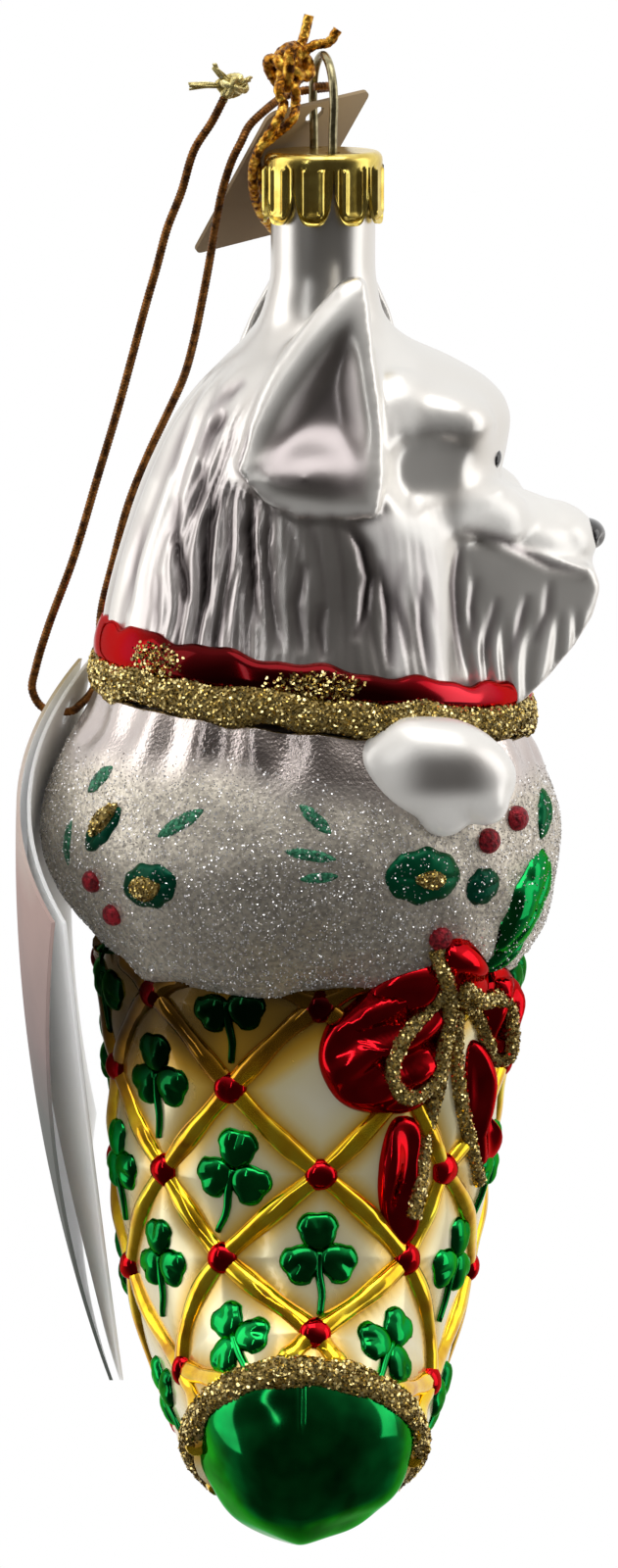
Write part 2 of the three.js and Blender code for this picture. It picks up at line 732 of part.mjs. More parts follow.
function squareTag() {
  const half = tagWidth / 2;
  const outline = new THREE.Shape();
  const top = tagHoleMargin;
  const bottom = tagHoleMargin - tagLength;
  outline.moveTo(half - tagCorner, top);
  outline.absarc(-half + tagCorner, top - tagCorner, tagCorner, Math.PI / 2, Math.PI, false);
  outline.absarc(-half + tagCorner, bottom + tagCorner, tagCorner, Math.PI, 1.5 * Math.PI, false);
  outline.absarc(half - tagCorner, bottom + tagCorner, tagCorner, 1.5 * Math.PI, 2 * Math.PI, false);
  outline.absarc(half - tagCorner, top - tagCorner, tagCorner, 0, Math.PI / 2, false);
  const hole = new THREE.Path();
  hole.absarc(0, 0, tagHole / 2, 0, 2 * Math.PI, true);
  outline.holes.push(hole);
  const card = new THREE.ExtrudeGeometry(outline, { depth: tagThickness, bevelEnabled: false, curveSegments: tagSteps });
  card.translate(0, 0, -tagThickness / 2);
  const up = tagDown.clone().negate();
  const face = vec(0, 0, 0).crossVectors(tagAcross, up);
  const mesh = piece('square_tag', card, tagCard);
  mesh.quaternion.setFromRotationMatrix(new THREE.Matrix4().makeBasis(tagAcross, up, face));
  mesh.position.copy(tagHoleAt());
  return mesh;
}

// The booklet: two curled leaves of folded card hung from one corner, so that its diagonal hangs plumb
const leafCorner = vec(-26.1, 8, -64.8);
const leafDiagonal = Math.hypot(leafWidth, leafLength);
const leafAcross = vec(0, -leafLength / leafDiagonal, -leafWidth / leafDiagonal);
const leafDown = vec(0, leafWidth / leafDiagonal, -leafLength / leafDiagonal);

// How far each leaf stands off the plane of its top corner: at its fold, middle and free edge,
// along its top, its waist and its foot. The inner leaf's free edge gapes open at the waist.
const outerBend = [[0, -6.0, -1.7], [-3.4, -5.9, -2.5], [-1.5, -1.4, 2.6]];
const innerBend = [[0, -6.0, -1.7], [-3.4, -5.9, 0.3], [-1.5, -1.4, 2.6]];
const leafSpacing = 1.15;

function bend(p, [start, middle, end]) {
  return start * (1 - p) * (1 - 2 * p) + 4 * middle * p * (1 - p) + end * p * (2 * p - 1);
}

function leafPoint(bends, across, down, lift) {
  const rows = bends.map((row) => bend(across / leafWidth, row));
  const x = bend(down / leafLength, rows) + lift;
  return leafCorner.clone().addScaledVector(leafAcross, across).addScaledVector(leafDown, down).add(vec(x, 0, 0));
}

function leaf(name, bends, lift) {
  const width = leafWidth - foldGap;
  const card = sheet(leafRows, leafColumns, (r, c, face) => leafPoint(
    bends, foldGap + width * c / leafColumns, leafLength * r / leafRows, lift + (face - 0.5) * leafThickness));
  const hole = new THREE.CylinderGeometry(leafHole / 2, leafHole / 2, 2 * leafHole, 16);
  hole.rotateZ(Math.PI / 2);
  hole.translate(...leafPoint(bends, leafHoleAcross, leafHoleDown, lift).toArray());
  return piece(name, geometryOf(solid(card).subtract(solid(hole))), leafCard);
}

const ornament = new THREE.Group();
ornament.add(glassBody());
ornament.add(ornamentCap());
ornament.add(hangerWire());
ornament.add(glitterBand('collar_glitter_band', collarStations.slice(2), collarBandWidth));
ornament.add(glitterBand('toe_glitter_band', [stockingRings.at(-2), toeRing, domeRings[0]], toeBandWidth));
ornament.add(piece('braid_loop', tube(braidRoute, braidDiameter, 56), braidGold));
ornament.add(braidKnot());
ornament.add(piece('elastic_loop', tube(elasticRoute, elasticDiameter, 78), elasticBrown));
ornament.add(elasticKnot());
ornament.add(squareTag());
ornament.add(leaf('booklet_inner_leaf', innerBend, leafSpacing));
ornament.add(leaf('booklet_outer_leaf', outerBend, 0));

export default ornament;
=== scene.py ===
import math
import random

import bpy
import numpy as np
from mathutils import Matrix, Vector
from mathutils.bvhtree import BVHTree
from mathutils.kdtree import KDTree


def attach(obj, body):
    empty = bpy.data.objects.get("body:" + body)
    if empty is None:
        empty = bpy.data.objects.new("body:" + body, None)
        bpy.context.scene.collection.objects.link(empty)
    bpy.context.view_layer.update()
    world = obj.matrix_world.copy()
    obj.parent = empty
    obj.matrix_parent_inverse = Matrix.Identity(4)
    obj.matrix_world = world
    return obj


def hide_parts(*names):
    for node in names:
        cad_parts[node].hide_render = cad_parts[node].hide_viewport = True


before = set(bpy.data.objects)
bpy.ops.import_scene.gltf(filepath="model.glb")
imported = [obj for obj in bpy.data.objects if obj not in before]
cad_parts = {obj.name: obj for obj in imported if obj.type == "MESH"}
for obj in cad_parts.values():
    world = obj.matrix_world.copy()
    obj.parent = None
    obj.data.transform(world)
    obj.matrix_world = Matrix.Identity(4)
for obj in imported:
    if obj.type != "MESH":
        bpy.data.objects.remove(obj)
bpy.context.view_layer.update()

MM = 0.001

# The hanging wire and the crown cap
WIRE_DIAMETER = 0.9
LOOP_HEIGHT = 9.5
LOOP_HALF_WIDTH = 4.2
LOOP_TURN = math.radians(15)
SPRING_LENGTH = 15
SPRING_REACH = 3.76
CAP_DIAMETER = 12.5
CAP_SHEET = 0.35
CAP_SKIRT = 7.5
CAP_SHOULDER = 0.9
PETALS = 9

# The glass
NECK_RADIUS = 5.55
NECK_TOP = -10.6
TOE_REACH = 9.6

# The lattice
RIB_WIDTH = 2.4
RIB_HEIGHT = 0.95
BEAD_RADIUS = 1.75
BEAD_HEIGHT = 1.35
CLOVER_LOBE = 1.65
CLOVER_REACH = 1.8
BEADS_ROUND = 7

# The cords
BRAID_DIAMETER = 1.1
BRAID_PITCH = 2.6
ELASTIC_DIAMETER = 0.95

# The booklet
LEAF_WIDTH = 42
LEAF_LENGTH = 70
LEAF_SHEET = 0.4
LEAF_HOLE = 2.8
LEAF_HOLE_ACROSS = 5
LEAF_HOLE_DOWN = 3.5
LEAF_SPACING = 1.15
FOLD_GAP = 0.35
LEAF_CORNER = np.array([-26.1, 8.0, -64.8])
OUTER_BEND = ((0, -6.0, -1.7), (-3.4, -5.9, -2.5), (-1.5, -1.4, 2.6))
INNER_BEND = ((0, -6.0, -1.7), (-3.4, -5.9, 0.3), (-1.5, -1.4, 2.6))

# The camera stands where the photographer stood
CAMERA_TARGET = (-1.5, 0.0, -77.35)
CAMERA_DISTANCE = 600.0
CAMERA_DROP = math.radians(11)
CAMERA_LENS = 128.25

# Each lamp's place, the place that it faces, its width and height in metres, and its watts
LAMPS = {
    "left_panel": ((-0.7, -0.02, 0.05), (0, 0, -0.08), (0.4, 0.9), 1.5),
    "right_panel": ((0.75, -0.06, 0.05), (0, 0, -0.08), (0.4, 0.9), 1.3),
    "top_panel": ((0.05, -0.22, 0.7), (0, 0, -0.08), (0.7, 0.5), 2.6),
    "front_strip": ((-0.42, -0.62, 0.3), (0, 0, -0.1), (0.05, 0.5), 0.3),
}
FLOOR_REACH = 1.5
FLOOR_LEVEL = -0.3
# The way from the glass to the dark end of the room, and how bright the room is from its far end to there
ROOM_FRONT = (0, -0.86, -0.5)
ROOM_SHADES = ((0.0, 0.95), (0.36, 0.85), (0.52, 0.40), (0.66, 0.11), (0.82, 0.045))


# Camera and light


def placed(name, data):
    """An object of the scene that holds a mesh, a lamp or a camera."""
    made = bpy.data.objects.new(name, data)
    bpy.context.scene.collection.objects.link(made)
    return made


def place_camera():
    data = bpy.data.cameras.new("camera")
    data.lens = CAMERA_LENS
    data.sensor_width = 36
    camera = placed("camera", data)
    back = Vector((0, -math.cos(CAMERA_DROP), math.sin(CAMERA_DROP))) * CAMERA_DISTANCE
    camera.location = (Vector(CAMERA_TARGET) + back) * MM
    camera.rotation_euler = (math.pi / 2 - CAMERA_DROP, 0, 0)
    bpy.context.scene.camera = camera


def panel_light(name, place, aim, size, power):
    """A flat lamp, in metres."""
    data = bpy.data.lights.new(name, "AREA")
    data.shape = "RECTANGLE"
    data.size, data.size_y = size
    data.energy = power
    lamp = placed(name, data)
    lamp.location = place
    lamp.rotation_euler = (Vector(aim) - Vector(place)).to_track_quat("-Z", "Y").to_euler()


def add(tree, kind, inputs=None, **settings):
    """A node with its settings, and its inputs set to values or linked to other nodes' outputs."""
    made = tree.nodes.new(kind)
    for name, value in settings.items():
        setattr(made, name, value)
    for name, value in (inputs or {}).items():
        if isinstance(value, bpy.types.NodeSocket):
            tree.links.new(value, made.inputs[name])
        else:
            made.inputs[name].default_value = value
    return made


def node(tree, kind, inputs=None, **settings):
    return add(tree, "ShaderNode" + kind, inputs, **settings)


def colors(tree, source, stops):
    """Colours along a source, as (position from 0 to 1, colour)."""
    made = node(tree, "ValToRGB", {0: source})
    elements = made.color_ramp.elements
    while len(elements) < len(stops):
        elements.new(0.5)
    for element, (position, color) in zip(elements, stops):
        element.position = position
        element.color = (*color, 1)
    return made.outputs[0]


def studio_world():
    """White walls behind, above and beside the glass, and the darker room in front that it reflects."""
    world = bpy.data.worlds.new("studio")
    world.use_nodes = True
    bpy.context.scene.world = world
    tree = world.node_tree
    where = node(tree, "TexCoord").outputs["Generated"]
    toward = node(tree, "VectorMath", {0: where, 1: ROOM_FRONT}, operation="DOT_PRODUCT").outputs["Value"]
    depth = node(tree, "MapRange", {"Value": toward, "From Min": -1.0, "From Max": 1.0}).outputs[0]
    stops = []
    for position, shade in ROOM_SHADES:
        warmth = 1 - 0.12 * position
        stops.append((position, (shade, shade * warmth, shade * warmth**2)))
    path = node(tree, "LightPath").outputs
    room = colors(tree, depth, stops)
    lit = {"Fac": path["Is Glossy Ray"], "Color1": (0.68, 0.68, 0.68, 1), "Color2": room}
    around = node(tree, "MixRGB", lit).outputs["Color"]
    shown = {"Fac": path["Is Camera Ray"], "Color1": around, "Color2": (1, 1, 1, 1)}
    background = tree.nodes["Background"]
    tree.links.new(node(tree, "MixRGB", shown).outputs["Color"], background.inputs["Color"])
    background.inputs["Strength"].default_value = 1


def studio():
    """The lamps, and a floor that is white to the camera and can't be seen in the glass."""
    studio_world()
    for name, (place, aim, size, power) in LAMPS.items():
        panel_light(name, place, aim, size, power)
    sides = ((-1, -1), (1, -1), (1, 1), (-1, 1))
    corners = [(x * FLOOR_REACH, y * FLOOR_REACH, FLOOR_LEVEL) for x, y in sides]
    mesh = bpy.data.meshes.new("floor")
    mesh.from_pydata(corners, [], [(0, 1, 2, 3)])
    floor = placed("floor", mesh)
    pale = finish("pale_floor", (0.85, 0.85, 0.85), roughness=0.9)
    tree = pale.node_tree
    path = node(tree, "LightPath").outputs
    glow = node(tree, "Emission", {"Color": (1, 1, 1, 1), "Strength": 1.0}).outputs[0]
    clear = node(tree, "BsdfTransparent").outputs[0]
    shown = node(tree, "MixShader", {0: path["Is Camera Ray"], 1: shader_of(pale).outputs[0], 2: glow})
    surface = node(tree, "MixShader", {0: path["Is Glossy Ray"], 1: shown.outputs[0], 2: clear})
    tree.links.new(surface.outputs[0], tree.nodes["Material Output"].inputs["Surface"])
    mesh.materials.append(pale)


# Materials


def shader_of(material):
    return material.node_tree.nodes["Principled BSDF"]


def finish(name, color, metallic=0.0, roughness=0.5, coat=0.0):
    made = bpy.data.materials.new(name)
    made.use_nodes = True
    inputs = shader_of(made).inputs
    inputs["Base Color"].default_value = (*color, 1)
    inputs["Metallic"].default_value = metallic
    inputs["Roughness"].default_value = roughness
    inputs["Coat Weight"].default_value = coat
    inputs["Coat Roughness"].default_value = 0.03
    return made


def grain(material, scale, detail=3.0):
    """A noise over the piece's own coordinates, in grains per metre."""
    tree = material.node_tree
    where = node(tree, "TexCoord").outputs["Object"]
    return node(tree, "TexNoise", {"Vector": where, "Scale": scale, "Detail": detail}).outputs["Fac"]


def drive(material, source, socket):
    material.node_tree.links.new(source, shader_of(material).inputs[socket])


def ramp(material, source, stops):
    """Colours the piece along a source from 0 to 1."""
    drive(material, colors(material.node_tree, source, stops), "Base Color")


def between_values(material, source, low, high, socket):
    """Spreads a source from 0 to 1 over a range of a shader value."""
    made = node(material.node_tree, "MapRange", {"Value": source, "To Min": low, "To Max": high})
    drive(material, made.outputs[0], socket)


def bump(material, source, distance, strength=0.5):
    inputs = {"Height": source, "Strength": strength, "Distance": distance * MM}
    drive(material, node(material.node_tree, "Bump", inputs).outputs[0], "Normal")


def attribute(material, name):
    return node(material.node_tree, "Attribute", attribute_name=name).outputs["Fac"]


def pearl_glass():
    """Silvered glass under a satin pearl coat. One value darkens its colour with painted shade in the
    grooves, valleys and hollows; the other makes it whiter and less metallic, partly for the coat's white
    paint and partly as painted highlight.
    """
    made = finish("pearl_glass", (0.86, 0.84, 0.8), 0.96, 0.3, 0.1)
    stops = [
        (0.0, (0.86, 0.84, 0.80)),
        (0.35, (0.58, 0.54, 0.53)),
        (0.7, (0.27, 0.24, 0.24)),
        (1.0, (0.06, 0.05, 0.05)),
    ]
    ramp(made, attribute(made, "painted_shade"), stops)
    between_values(made, attribute(made, "milk_and_highlight"), 1.0, 0.25, "Metallic")
    between_values(made, grain(made, 260), 0.28, 0.38, "Roughness")
    bump(made, grain(made, 90, 1.0), 0.2, 0.15)
    return made


def darkened_in_cuff_shadow(material, source):
    """A source from 0 to 1, darkened by painted shadow where the value lit is low."""
    factors = {0: source, 1: attribute(material, "lit")}
    return node(material.node_tree, "Math", factors, operation="MULTIPLY").outputs[0]


def lacquer(name, deep, bright, cuff_shadow=False):
    """Coloured lacquer over silvered glass, which can be made nearly black with painted shadow under the
    cuff, where the value lit is low.
    """
    made = finish(name, deep, 1.0, 0.11, 0.1)
    tint = [0.6 * share / max(bright) for share in bright]
    shader_of(made).inputs["Specular Tint"].default_value = (*tint, 1)
    shade = grain(made, 240, 2.0)
    stops = [(0.3, deep), (0.7, bright)]
    if cuff_shadow:
        shade = darkened_in_cuff_shadow(made, shade)
        stops = [(0.0, [0.12 * share for share in deep]), *stops]
    ramp(made, shade, stops)
    bump(made, grain(made, 120, 1.0), 0.3, 0.35)
    return made


def collar_red():
    """Red lacquer with painted light: wine dark in painted shade on the side, and bright at the nape and the
    throat, where lit is 1.
    """
    made = finish("collar_red", (0.3, 0.002, 0.008), 1.0, 0.13, 0.1)
    shader_of(made).inputs["Specular Tint"].default_value = (0.6, 0.004, 0.012, 1)
    stops = [
        (0.0, (0.09, 0.0005, 0.002)),
        (0.5, (0.30, 0.002, 0.008)),
        (1.0, (0.58, 0.03, 0.045)),
    ]
    ramp(made, attribute(made, "lit"), stops)
    bump(made, grain(made, 55, 1.0), 0.3, 0.35)
    return made


def holly_green():
    """Green lacquer, bright on the bare leaves and dark under the frost, where dull is 1."""
    made = finish("holly_green", (0.006, 0.25, 0.05), 1.0, 0.12, 0.1)
    shader_of(made).inputs["Specular Tint"].default_value = (0.05, 0.6, 0.2, 1)
    stops = [(0.0, (0.004, 0.28, 0.06)), (1.0, (0.002, 0.055, 0.03))]
    ramp(made, attribute(made, "dull"), stops)
    between_values(made, attribute(made, "dull"), 1.0, 0.7, "Metallic")
    between_values(made, attribute(made, "dull"), 0.11, 0.42, "Roughness")
    bump(made, grain(made, 300, 2.0), 0.3, 0.5)
    return made


def mirror_gold():
    """Gold lacquer, darkened to brown by painted shadow under the cuff, where the value lit is low."""
    made = finish("mirror_gold", (0.95, 0.62, 0.08), 0.93, 0.12, 0.3)
    stops = [
        (0.0, (0.05, 0.022, 0.002)),
        (0.3, (0.72, 0.34, 0.01)),
        (0.5, (1.0, 0.62, 0.015)),
        (0.75, (1.0, 0.82, 0.05)),
    ]
    ramp(made, darkened_in_cuff_shadow(made, grain(made, 300, 2.0)), stops)
    bump(made, grain(made, 400, 1.0), 0.3, 0.4)
    return made


def ivory_glass():
    """Ivory lacquer, amber beside the ribs, and darkened to brown by painted shadow under the cuff."""
    made = finish("ivory_glass", (0.8, 0.72, 0.56), 0.6, 0.22, 0.5)
    stops = [
        (0.0, (0.035, 0.02, 0.003)),
        (0.22, (0.50, 0.27, 0.02)),
        (0.38, (0.72, 0.47, 0.09)),
        (0.61, (0.80, 0.70, 0.40)),
        (1.0, (0.84, 0.78, 0.57)),
    ]
    ramp(made, attribute(made, "from_rib_and_cuff_shadow"), stops)
    between_values(made, grain(made, 200), 0.16, 0.34, "Roughness")
    bump(made, grain(made, 110, 1.0), 0.3, 0.3)
    return made


def frosted_glass():
    """Pearl glass above, and white glue full of grains where the frost attribute says."""
    made = finish("frosted_glass", (0.8, 0.78, 0.77), 0.9, 0.3)
    tree = made.node_tree
    frost = attribute(made, "frost")
    silver = colors(tree, grain(made, 140), [(0.3, (0.55, 0.48, 0.46)), (0.7, (0.78, 0.71, 0.68))])
    grains = colors(tree, grain(made, 1900, 2.0), [(0.35, (0.48, 0.44, 0.38)), (0.62, (0.82, 0.76, 0.65))])
    mixed = node(tree, "MixRGB", {"Fac": frost, "Color1": silver, "Color2": grains})
    drive(made, mixed.outputs[0], "Base Color")
    between_values(made, frost, 1.0, 0.9, "Metallic")
    between_values(made, frost, 0.22, 0.5, "Roughness")
    bump(made, grain(made, 3000, 2.0), 0.12, 0.5)
    return made


def glitter(name, stops, roughness=0.22, metallic=1.0):
    """Loose flakes, each with its own shade."""
    made = finish(name, stops[-1][1], metallic, roughness)
    ramp(made, attribute(made, "shade"), stops)
    return made


def glue(name, dark, light):
    """Dull glue full of fine grains."""
    made = finish(name, dark, 0.5, 0.45)
    ramp(made, grain(made, 2200, 2.0), [(0.35, dark), (0.65, light)])
    bump(made, grain(made, 2600, 2.0), 0.3, 0.9)
    return made


def cap_gold():
    made = finish("cap_gold", (0.83, 0.62, 0.13), 1.0, 0.18)
    ramp(made, grain(made, 500, 3.0), [(0.35, (0.70, 0.50, 0.10)), (0.65, (0.92, 0.74, 0.20))])
    between_values(made, grain(made, 900), 0.1, 0.3, "Roughness")
    bump(made, grain(made, 700, 2.0), 0.1, 0.3)
    return made


def wire_metal():
    made = finish("wire_metal", (0.42, 0.37, 0.20), 1.0, 0.3)
    ramp(made, grain(made, 1200, 3.0), [(0.35, (0.25, 0.22, 0.12)), (0.65, (0.55, 0.49, 0.29))])
    bump(made, grain(made, 2400, 2.0), 0.05, 0.3)
    return made


def metal_thread(name, stops, roughness=0.32):
    """Threads wound with metal foil, in patches of light and dark."""
    made = finish(name, stops[-1][1], 0.85, roughness)
    ramp(made, grain(made, 1100, 2.0), stops)
    bump(made, grain(made, 5200, 2.0), 0.12, 0.7)
    return made


def printed_card(name, stops):
    """Coated card with its print running in bands down the card, as (height in mm, colour)."""
    made = finish(name, stops[-1][1], 0.0, 0.7)
    shader_of(made).inputs["Specular IOR Level"].default_value = 0.15
    tree = made.node_tree
    where = node(tree, "TexCoord").outputs["Object"]
    height = node(tree, "SeparateXYZ", {0: where}).outputs["Z"]
    top, foot = stops[0][0], stops[-1][0]
    down = node(tree, "MapRange", {"Value": height, "From Min": top * MM, "From Max": foot * MM})
    stain = node(tree, "MapRange", {"Value": grain(made, 120, 3.0), "To Min": -0.06, "To Max": 0.06})
    place = node(tree, "Math", {0: down.outputs[0], 1: stain.outputs[0]}, operation="ADD").outputs[0]
    ramp(made, place, [((z - top) / (foot - top), color) for z, color in stops])
    bump(made, grain(made, 1800, 3.0), 0.03, 0.3)
    return made


def let_light_through(material):
    """Thin white paper glows a little with the light on its other side."""
    shader = shader_of(material)
    shader.inputs["Subsurface Weight"].default_value = 1.0
    shader.inputs["Subsurface Scale"].default_value = 2.5 * MM
    shader.inputs["Subsurface Radius"].default_value = (1, 1, 1)


# Mesh tools


def shade_smooth(mesh, sharp_degrees=None):
    """Smooth shading, broken where faces meet at more than an angle, if one is given."""
    mesh.polygons.foreach_set("use_smooth", [True] * len(mesh.polygons))
    if sharp_degrees is not None:
        mesh.set_sharp_from_angle(angle=math.radians(sharp_degrees))


def mesh_object(name, points, faces, material, smooth=True):
    """An object in metres from points in millimetres."""
    mesh = bpy.data.meshes.new(name)
    mesh.from_pydata((np.asarray(points, dtype=float) * MM).tolist(), [], [list(map(int, f)) for f in faces])
    mesh.validate()
    mesh.update()
    mesh.materials.append(material)
    if smooth:
        shade_smooth(mesh)
    return placed(name, mesh)


def store(piece, name, values):
    """Keeps one number for each point of a piece, for its material to read."""
    layer = piece.data.attributes.new(name, "FLOAT", "POINT")
    layer.data.foreach_set("value", np.asarray(values, dtype=np.float32))


def grid_faces(rows, columns, wrap=False, start=0):
    """Four-sided faces over rows of points. With wrap, each row closes on itself."""
    faces = []
    steps = columns if wrap else columns - 1
    for r in range(rows - 1):
        for c in range(steps):
            a = start + r * columns + c
            b = start + r * columns + (c + 1) % columns
            faces.append((a, b, b + columns, a + columns))
    return faces


def even_turns(count):
    """Angles round a full turn, in even steps."""
    return np.arange(count) * 2 * math.pi / count


def tube_mesh(path, radius, sides):
    """Rings along a path. radius is a number, or one for each place and side."""
    path = np.asarray(path, dtype=float)
    along = np.gradient(path, axis=0)
    along /= np.linalg.norm(along, axis=1)[:, None]
    normal = np.cross(along[0], [0.3, 0.2, 0.9])
    normals = []
    for direction in along:
        normal = normal - direction * normal.dot(direction)
        normal = normal / np.linalg.norm(normal)
        normals.append(normal)
    normals = np.array(normals)
    others = np.cross(along, normals)
    turns = even_turns(sides)
    reach = np.broadcast_to(np.asarray(radius, dtype=float), (len(path), sides))
    rings = (
        path[:, None]
        + reach[:, :, None] * np.cos(turns)[None, :, None] * normals[:, None]
        + reach[:, :, None] * np.sin(turns)[None, :, None] * others[:, None]
    )
    faces = grid_faces(len(path), sides, wrap=True)
    last = (len(path) - 1) * sides
    faces.append(tuple(range(sides))[::-1])
    faces.append(tuple(range(last, last + sides)))
    return rings.reshape(-1, 3), faces


def lengths_along(line):
    """How far along a line each of its places is."""
    return np.concatenate([[0], np.cumsum(np.linalg.norm(np.diff(line, axis=0), axis=1))])


def sampled(line, lengths, at):
    """Values between those of a line's places, at given lengths along it."""
    return np.stack([np.interp(at, lengths, line[:, axis]) for axis in range(3)], axis=1)


def smooth_path(places, step):
    """A smooth curve through given points, in even steps, and its length."""
    p = np.asarray(places, dtype=float)
    ends = np.vstack([2 * p[0] - p[1], p, 2 * p[-1] - p[-2]])
    t = np.linspace(0, 1, 40, endpoint=False)[:, None]
    out = []
    for a, b, c, d in zip(ends, ends[1:], ends[2:], ends[3:]):
        before, here, after = (np.linalg.norm(gap) ** 0.5 for gap in (b - a, c - b, d - c))
        leave = ((b - a) / before - (c - a) / (before + here) + (c - b) / here) * here
        arrive = ((c - b) / here - (d - b) / (here + after) + (d - c) / after) * here
        curve = (2 * t**3 - 3 * t**2 + 1) * b + (t**3 - 2 * t**2 + t) * leave
        out.append(curve + (3 * t**2 - 2 * t**3) * c + (t**3 - t**2) * arrive)
    dense = np.vstack([*out, p[-1:]])
    lengths = lengths_along(dense)
    count = max(2, round(lengths[-1] / step) + 1)
    return sampled(dense, lengths, np.linspace(0, lengths[-1], count)), lengths[-1]


def joined(parts):
    """Points and faces of several meshes as one."""
    points = []
    faces = []
    start = 0
    for p, f in parts:
        points.append(np.asarray(p))
        faces.extend([tuple(i + start for i in face) for face in f])
        start += len(p)
    return np.vstack(points), faces


def ripple(points, length, seed):
    """A smooth unevenness from about -1 to 1, whose bumps are about length apart."""
    draw = np.random.default_rng(seed)
    total = 0
    for _ in range(7):
        direction = draw.normal(size=3)
        direction *= 2 * math.pi / length / np.linalg.norm(direction)
        total = total + np.sin(points @ direction + draw.uniform(0, 2 * math.pi))
    return total / 3.5


def eased(values, low, high):
    """0 below low, 1 above high and a smooth rise between them."""
    t = np.clip((np.asarray(values, dtype=float) - low) / (high - low), 0, 1)
    return t * t * (3 - 2 * t)


def unit(vectors):
    vectors = np.asarray(vectors, dtype=float)
    return vectors / np.linalg.norm(vectors, axis=-1, keepdims=True)


# The glass as stations from the neck to the toe: the middle, and how far the glass reaches
# from there to the dog's face (+X), its back (-X), the viewer (-Y) and away (+Y).
# A pinch draws the far half in to a blunt point.


def station(middle, face, back, near, far, pinch=0):
    return np.array([middle, face, back, near, far, [pinch, 0, 0]], dtype=float)


def level(z, x, face, back, depth):
    return station([x, 0, z], [face - x, 0, 0], [back - x, 0, 0], [0, -depth, 0], [0, depth, 0])


def leaning(nape, throat, depth, rise):
    middle = [(nape[0] + throat[0]) / 2, 0, (nape[1] + throat[1]) / 2]
    half = np.array([(throat[0] - nape[0]) / 2, 0, (throat[1] - nape[1]) / 2])
    return station(middle, half, -half, [0, -depth, rise], [0, depth, rise])


def turning(near, far, face, back, pinch=0):
    middle = [-2.4, (near[0] + far[0]) / 2, (near[1] + far[1]) / 2]
    half = np.array([0, (near[0] - far[0]) / 2, (near[1] - far[1]) / 2])
    return station(middle, [face + 2.4, 0, 0], [back + 2.4, 0, 0], half, -half, pinch)


NECK_BORE = [
    level(-31.0, 0, 0.3, -0.3, 0.3),
    level(-30.0, 0, 4.6, -4.6, 4.6),
    level(-20.0, 0, 4.6, -4.6, 4.6),
    level(NECK_TOP, 0, 4.6, -4.6, 4.6),
    level(NECK_TOP, 0, NECK_RADIUS, -NECK_RADIUS, NECK_RADIUS),
    level(-16.0, 0, NECK_RADIUS, -NECK_RADIUS, NECK_RADIUS),
]
HEAD = [
    level(-22.5, 0, 5.55, -5.55, 5.55),
    level(-26.6, 0, 6.4, -6.6, 6.5),
    level(-29.2, 0, 9.0, -8.4, 8.8),
    level(-31.4, 0, 13.8, -10.6, 11.8),
    level(-34.0, 0, 18.0, -13.0, 14.6),
    level(-37.0, 0, 19.8, -15.2, 16.6),
    level(-40.3, 0, 19.6, -17.2, 18.0),
    level(-44.0, 0, 18.8, -18.9, 18.9),
    level(-48.4, 0, 18.4, -20.5, 19.8),
    level(-53.0, -0.5, 19.0, -21.9, 20.6),
    level(-58.0, -1, 20.2, -23.1, 21.4),
    leaning((-23.4, -61.0), (21.6, -65.6), 22.4, 1.6),
    leaning((-23.0, -64.0), (21.0, -68.6), 22.4, 1.9),
]
COLLAR = [
    leaning((-23.6, -60.2), (21.6, -64.8), 22.6, 1.6),
    leaning((-24.4, -62.8), (22.2, -67.6), 23.8, 1.9),
    leaning((-24.2, -65.2), (22.0, -69.9), 23.9, 1.9),
    leaning((-24.2, -67.4), (22.0, -72.0), 24.1, 1.8),
]
CUFF = [
    leaning((-24.2, -67.0), (22.0, -71.6), 24.0, 1.8),
    leaning((-25.4, -69.6), (23.2, -73.8), 25.2, 1.4),
    leaning((-28.0, -73.4), (24.6, -77.2), 26.8, 0.8),
    level(-79.6, -2.8, 25.3, -29.9, 28.0),
    level(-84.2, -2.8, 25.4, -29.8, 27.8),
    level(-88.6, -2.8, 24.8, -28.3, 26.4),
    level(-92.6, -2.6, 23.8, -25.2, 24.2),
    level(-95.6, -2.4, 21.9, -23.0, 21.4),
]
STOCKING = [
    level(-94.0, -2.4, 20.9, -23.9, 20.9),
    turning((-20.6, -98), (20.2, -98), 20.6, -23.8),
    turning((-20.4, -105), (20.2, -107), 19.5, -22.9),
    turning((-20.2, -112), (20.0, -117), 18.5, -22.5),
    turning((-20.4, -118), (19.9, -127), 17.4, -22.2),
    turning((-21.4, -123.5), (19.2, -137), 15.8, -21.2),
    turning((-23.4, -127.6), (15.4, -147.2), 14.0, -19.2),
    turning((-25.6, -130.6), (5.0, -154.2), 12.0, -16.6, 0.2),
    turning((-28.6, -133.6), (-15.8, -156.6), 9.7, -13.5, 0.54),
]
LAST_PLACE = len(STOCKING) - 1
# The toe points square to the last station
TOE_AXIS = unit(np.cross(STOCKING[-1][1], STOCKING[-1][3]))


def between(stations, places):
    """Stations at any places along a list of them, on smooth curves through the given ones."""
    s = np.asarray(stations)
    places = np.asarray(places, dtype=float)
    ends = np.concatenate([2 * s[:1] - s[1:2], s, 2 * s[-1:] - s[-2:-1]])
    k = np.clip(np.floor(places).astype(int), 0, len(s) - 2)
    t = (places - k)[:, None, None]
    a, b, c, d = ends[k], ends[k + 1], ends[k + 2], ends[k + 3]
    curve = 2 * b + (c - a) * t + (2 * a - 5 * b + 4 * c - d) * t**2 + (3 * b - a - 3 * c + d) * t**3
    return 0.5 * curve


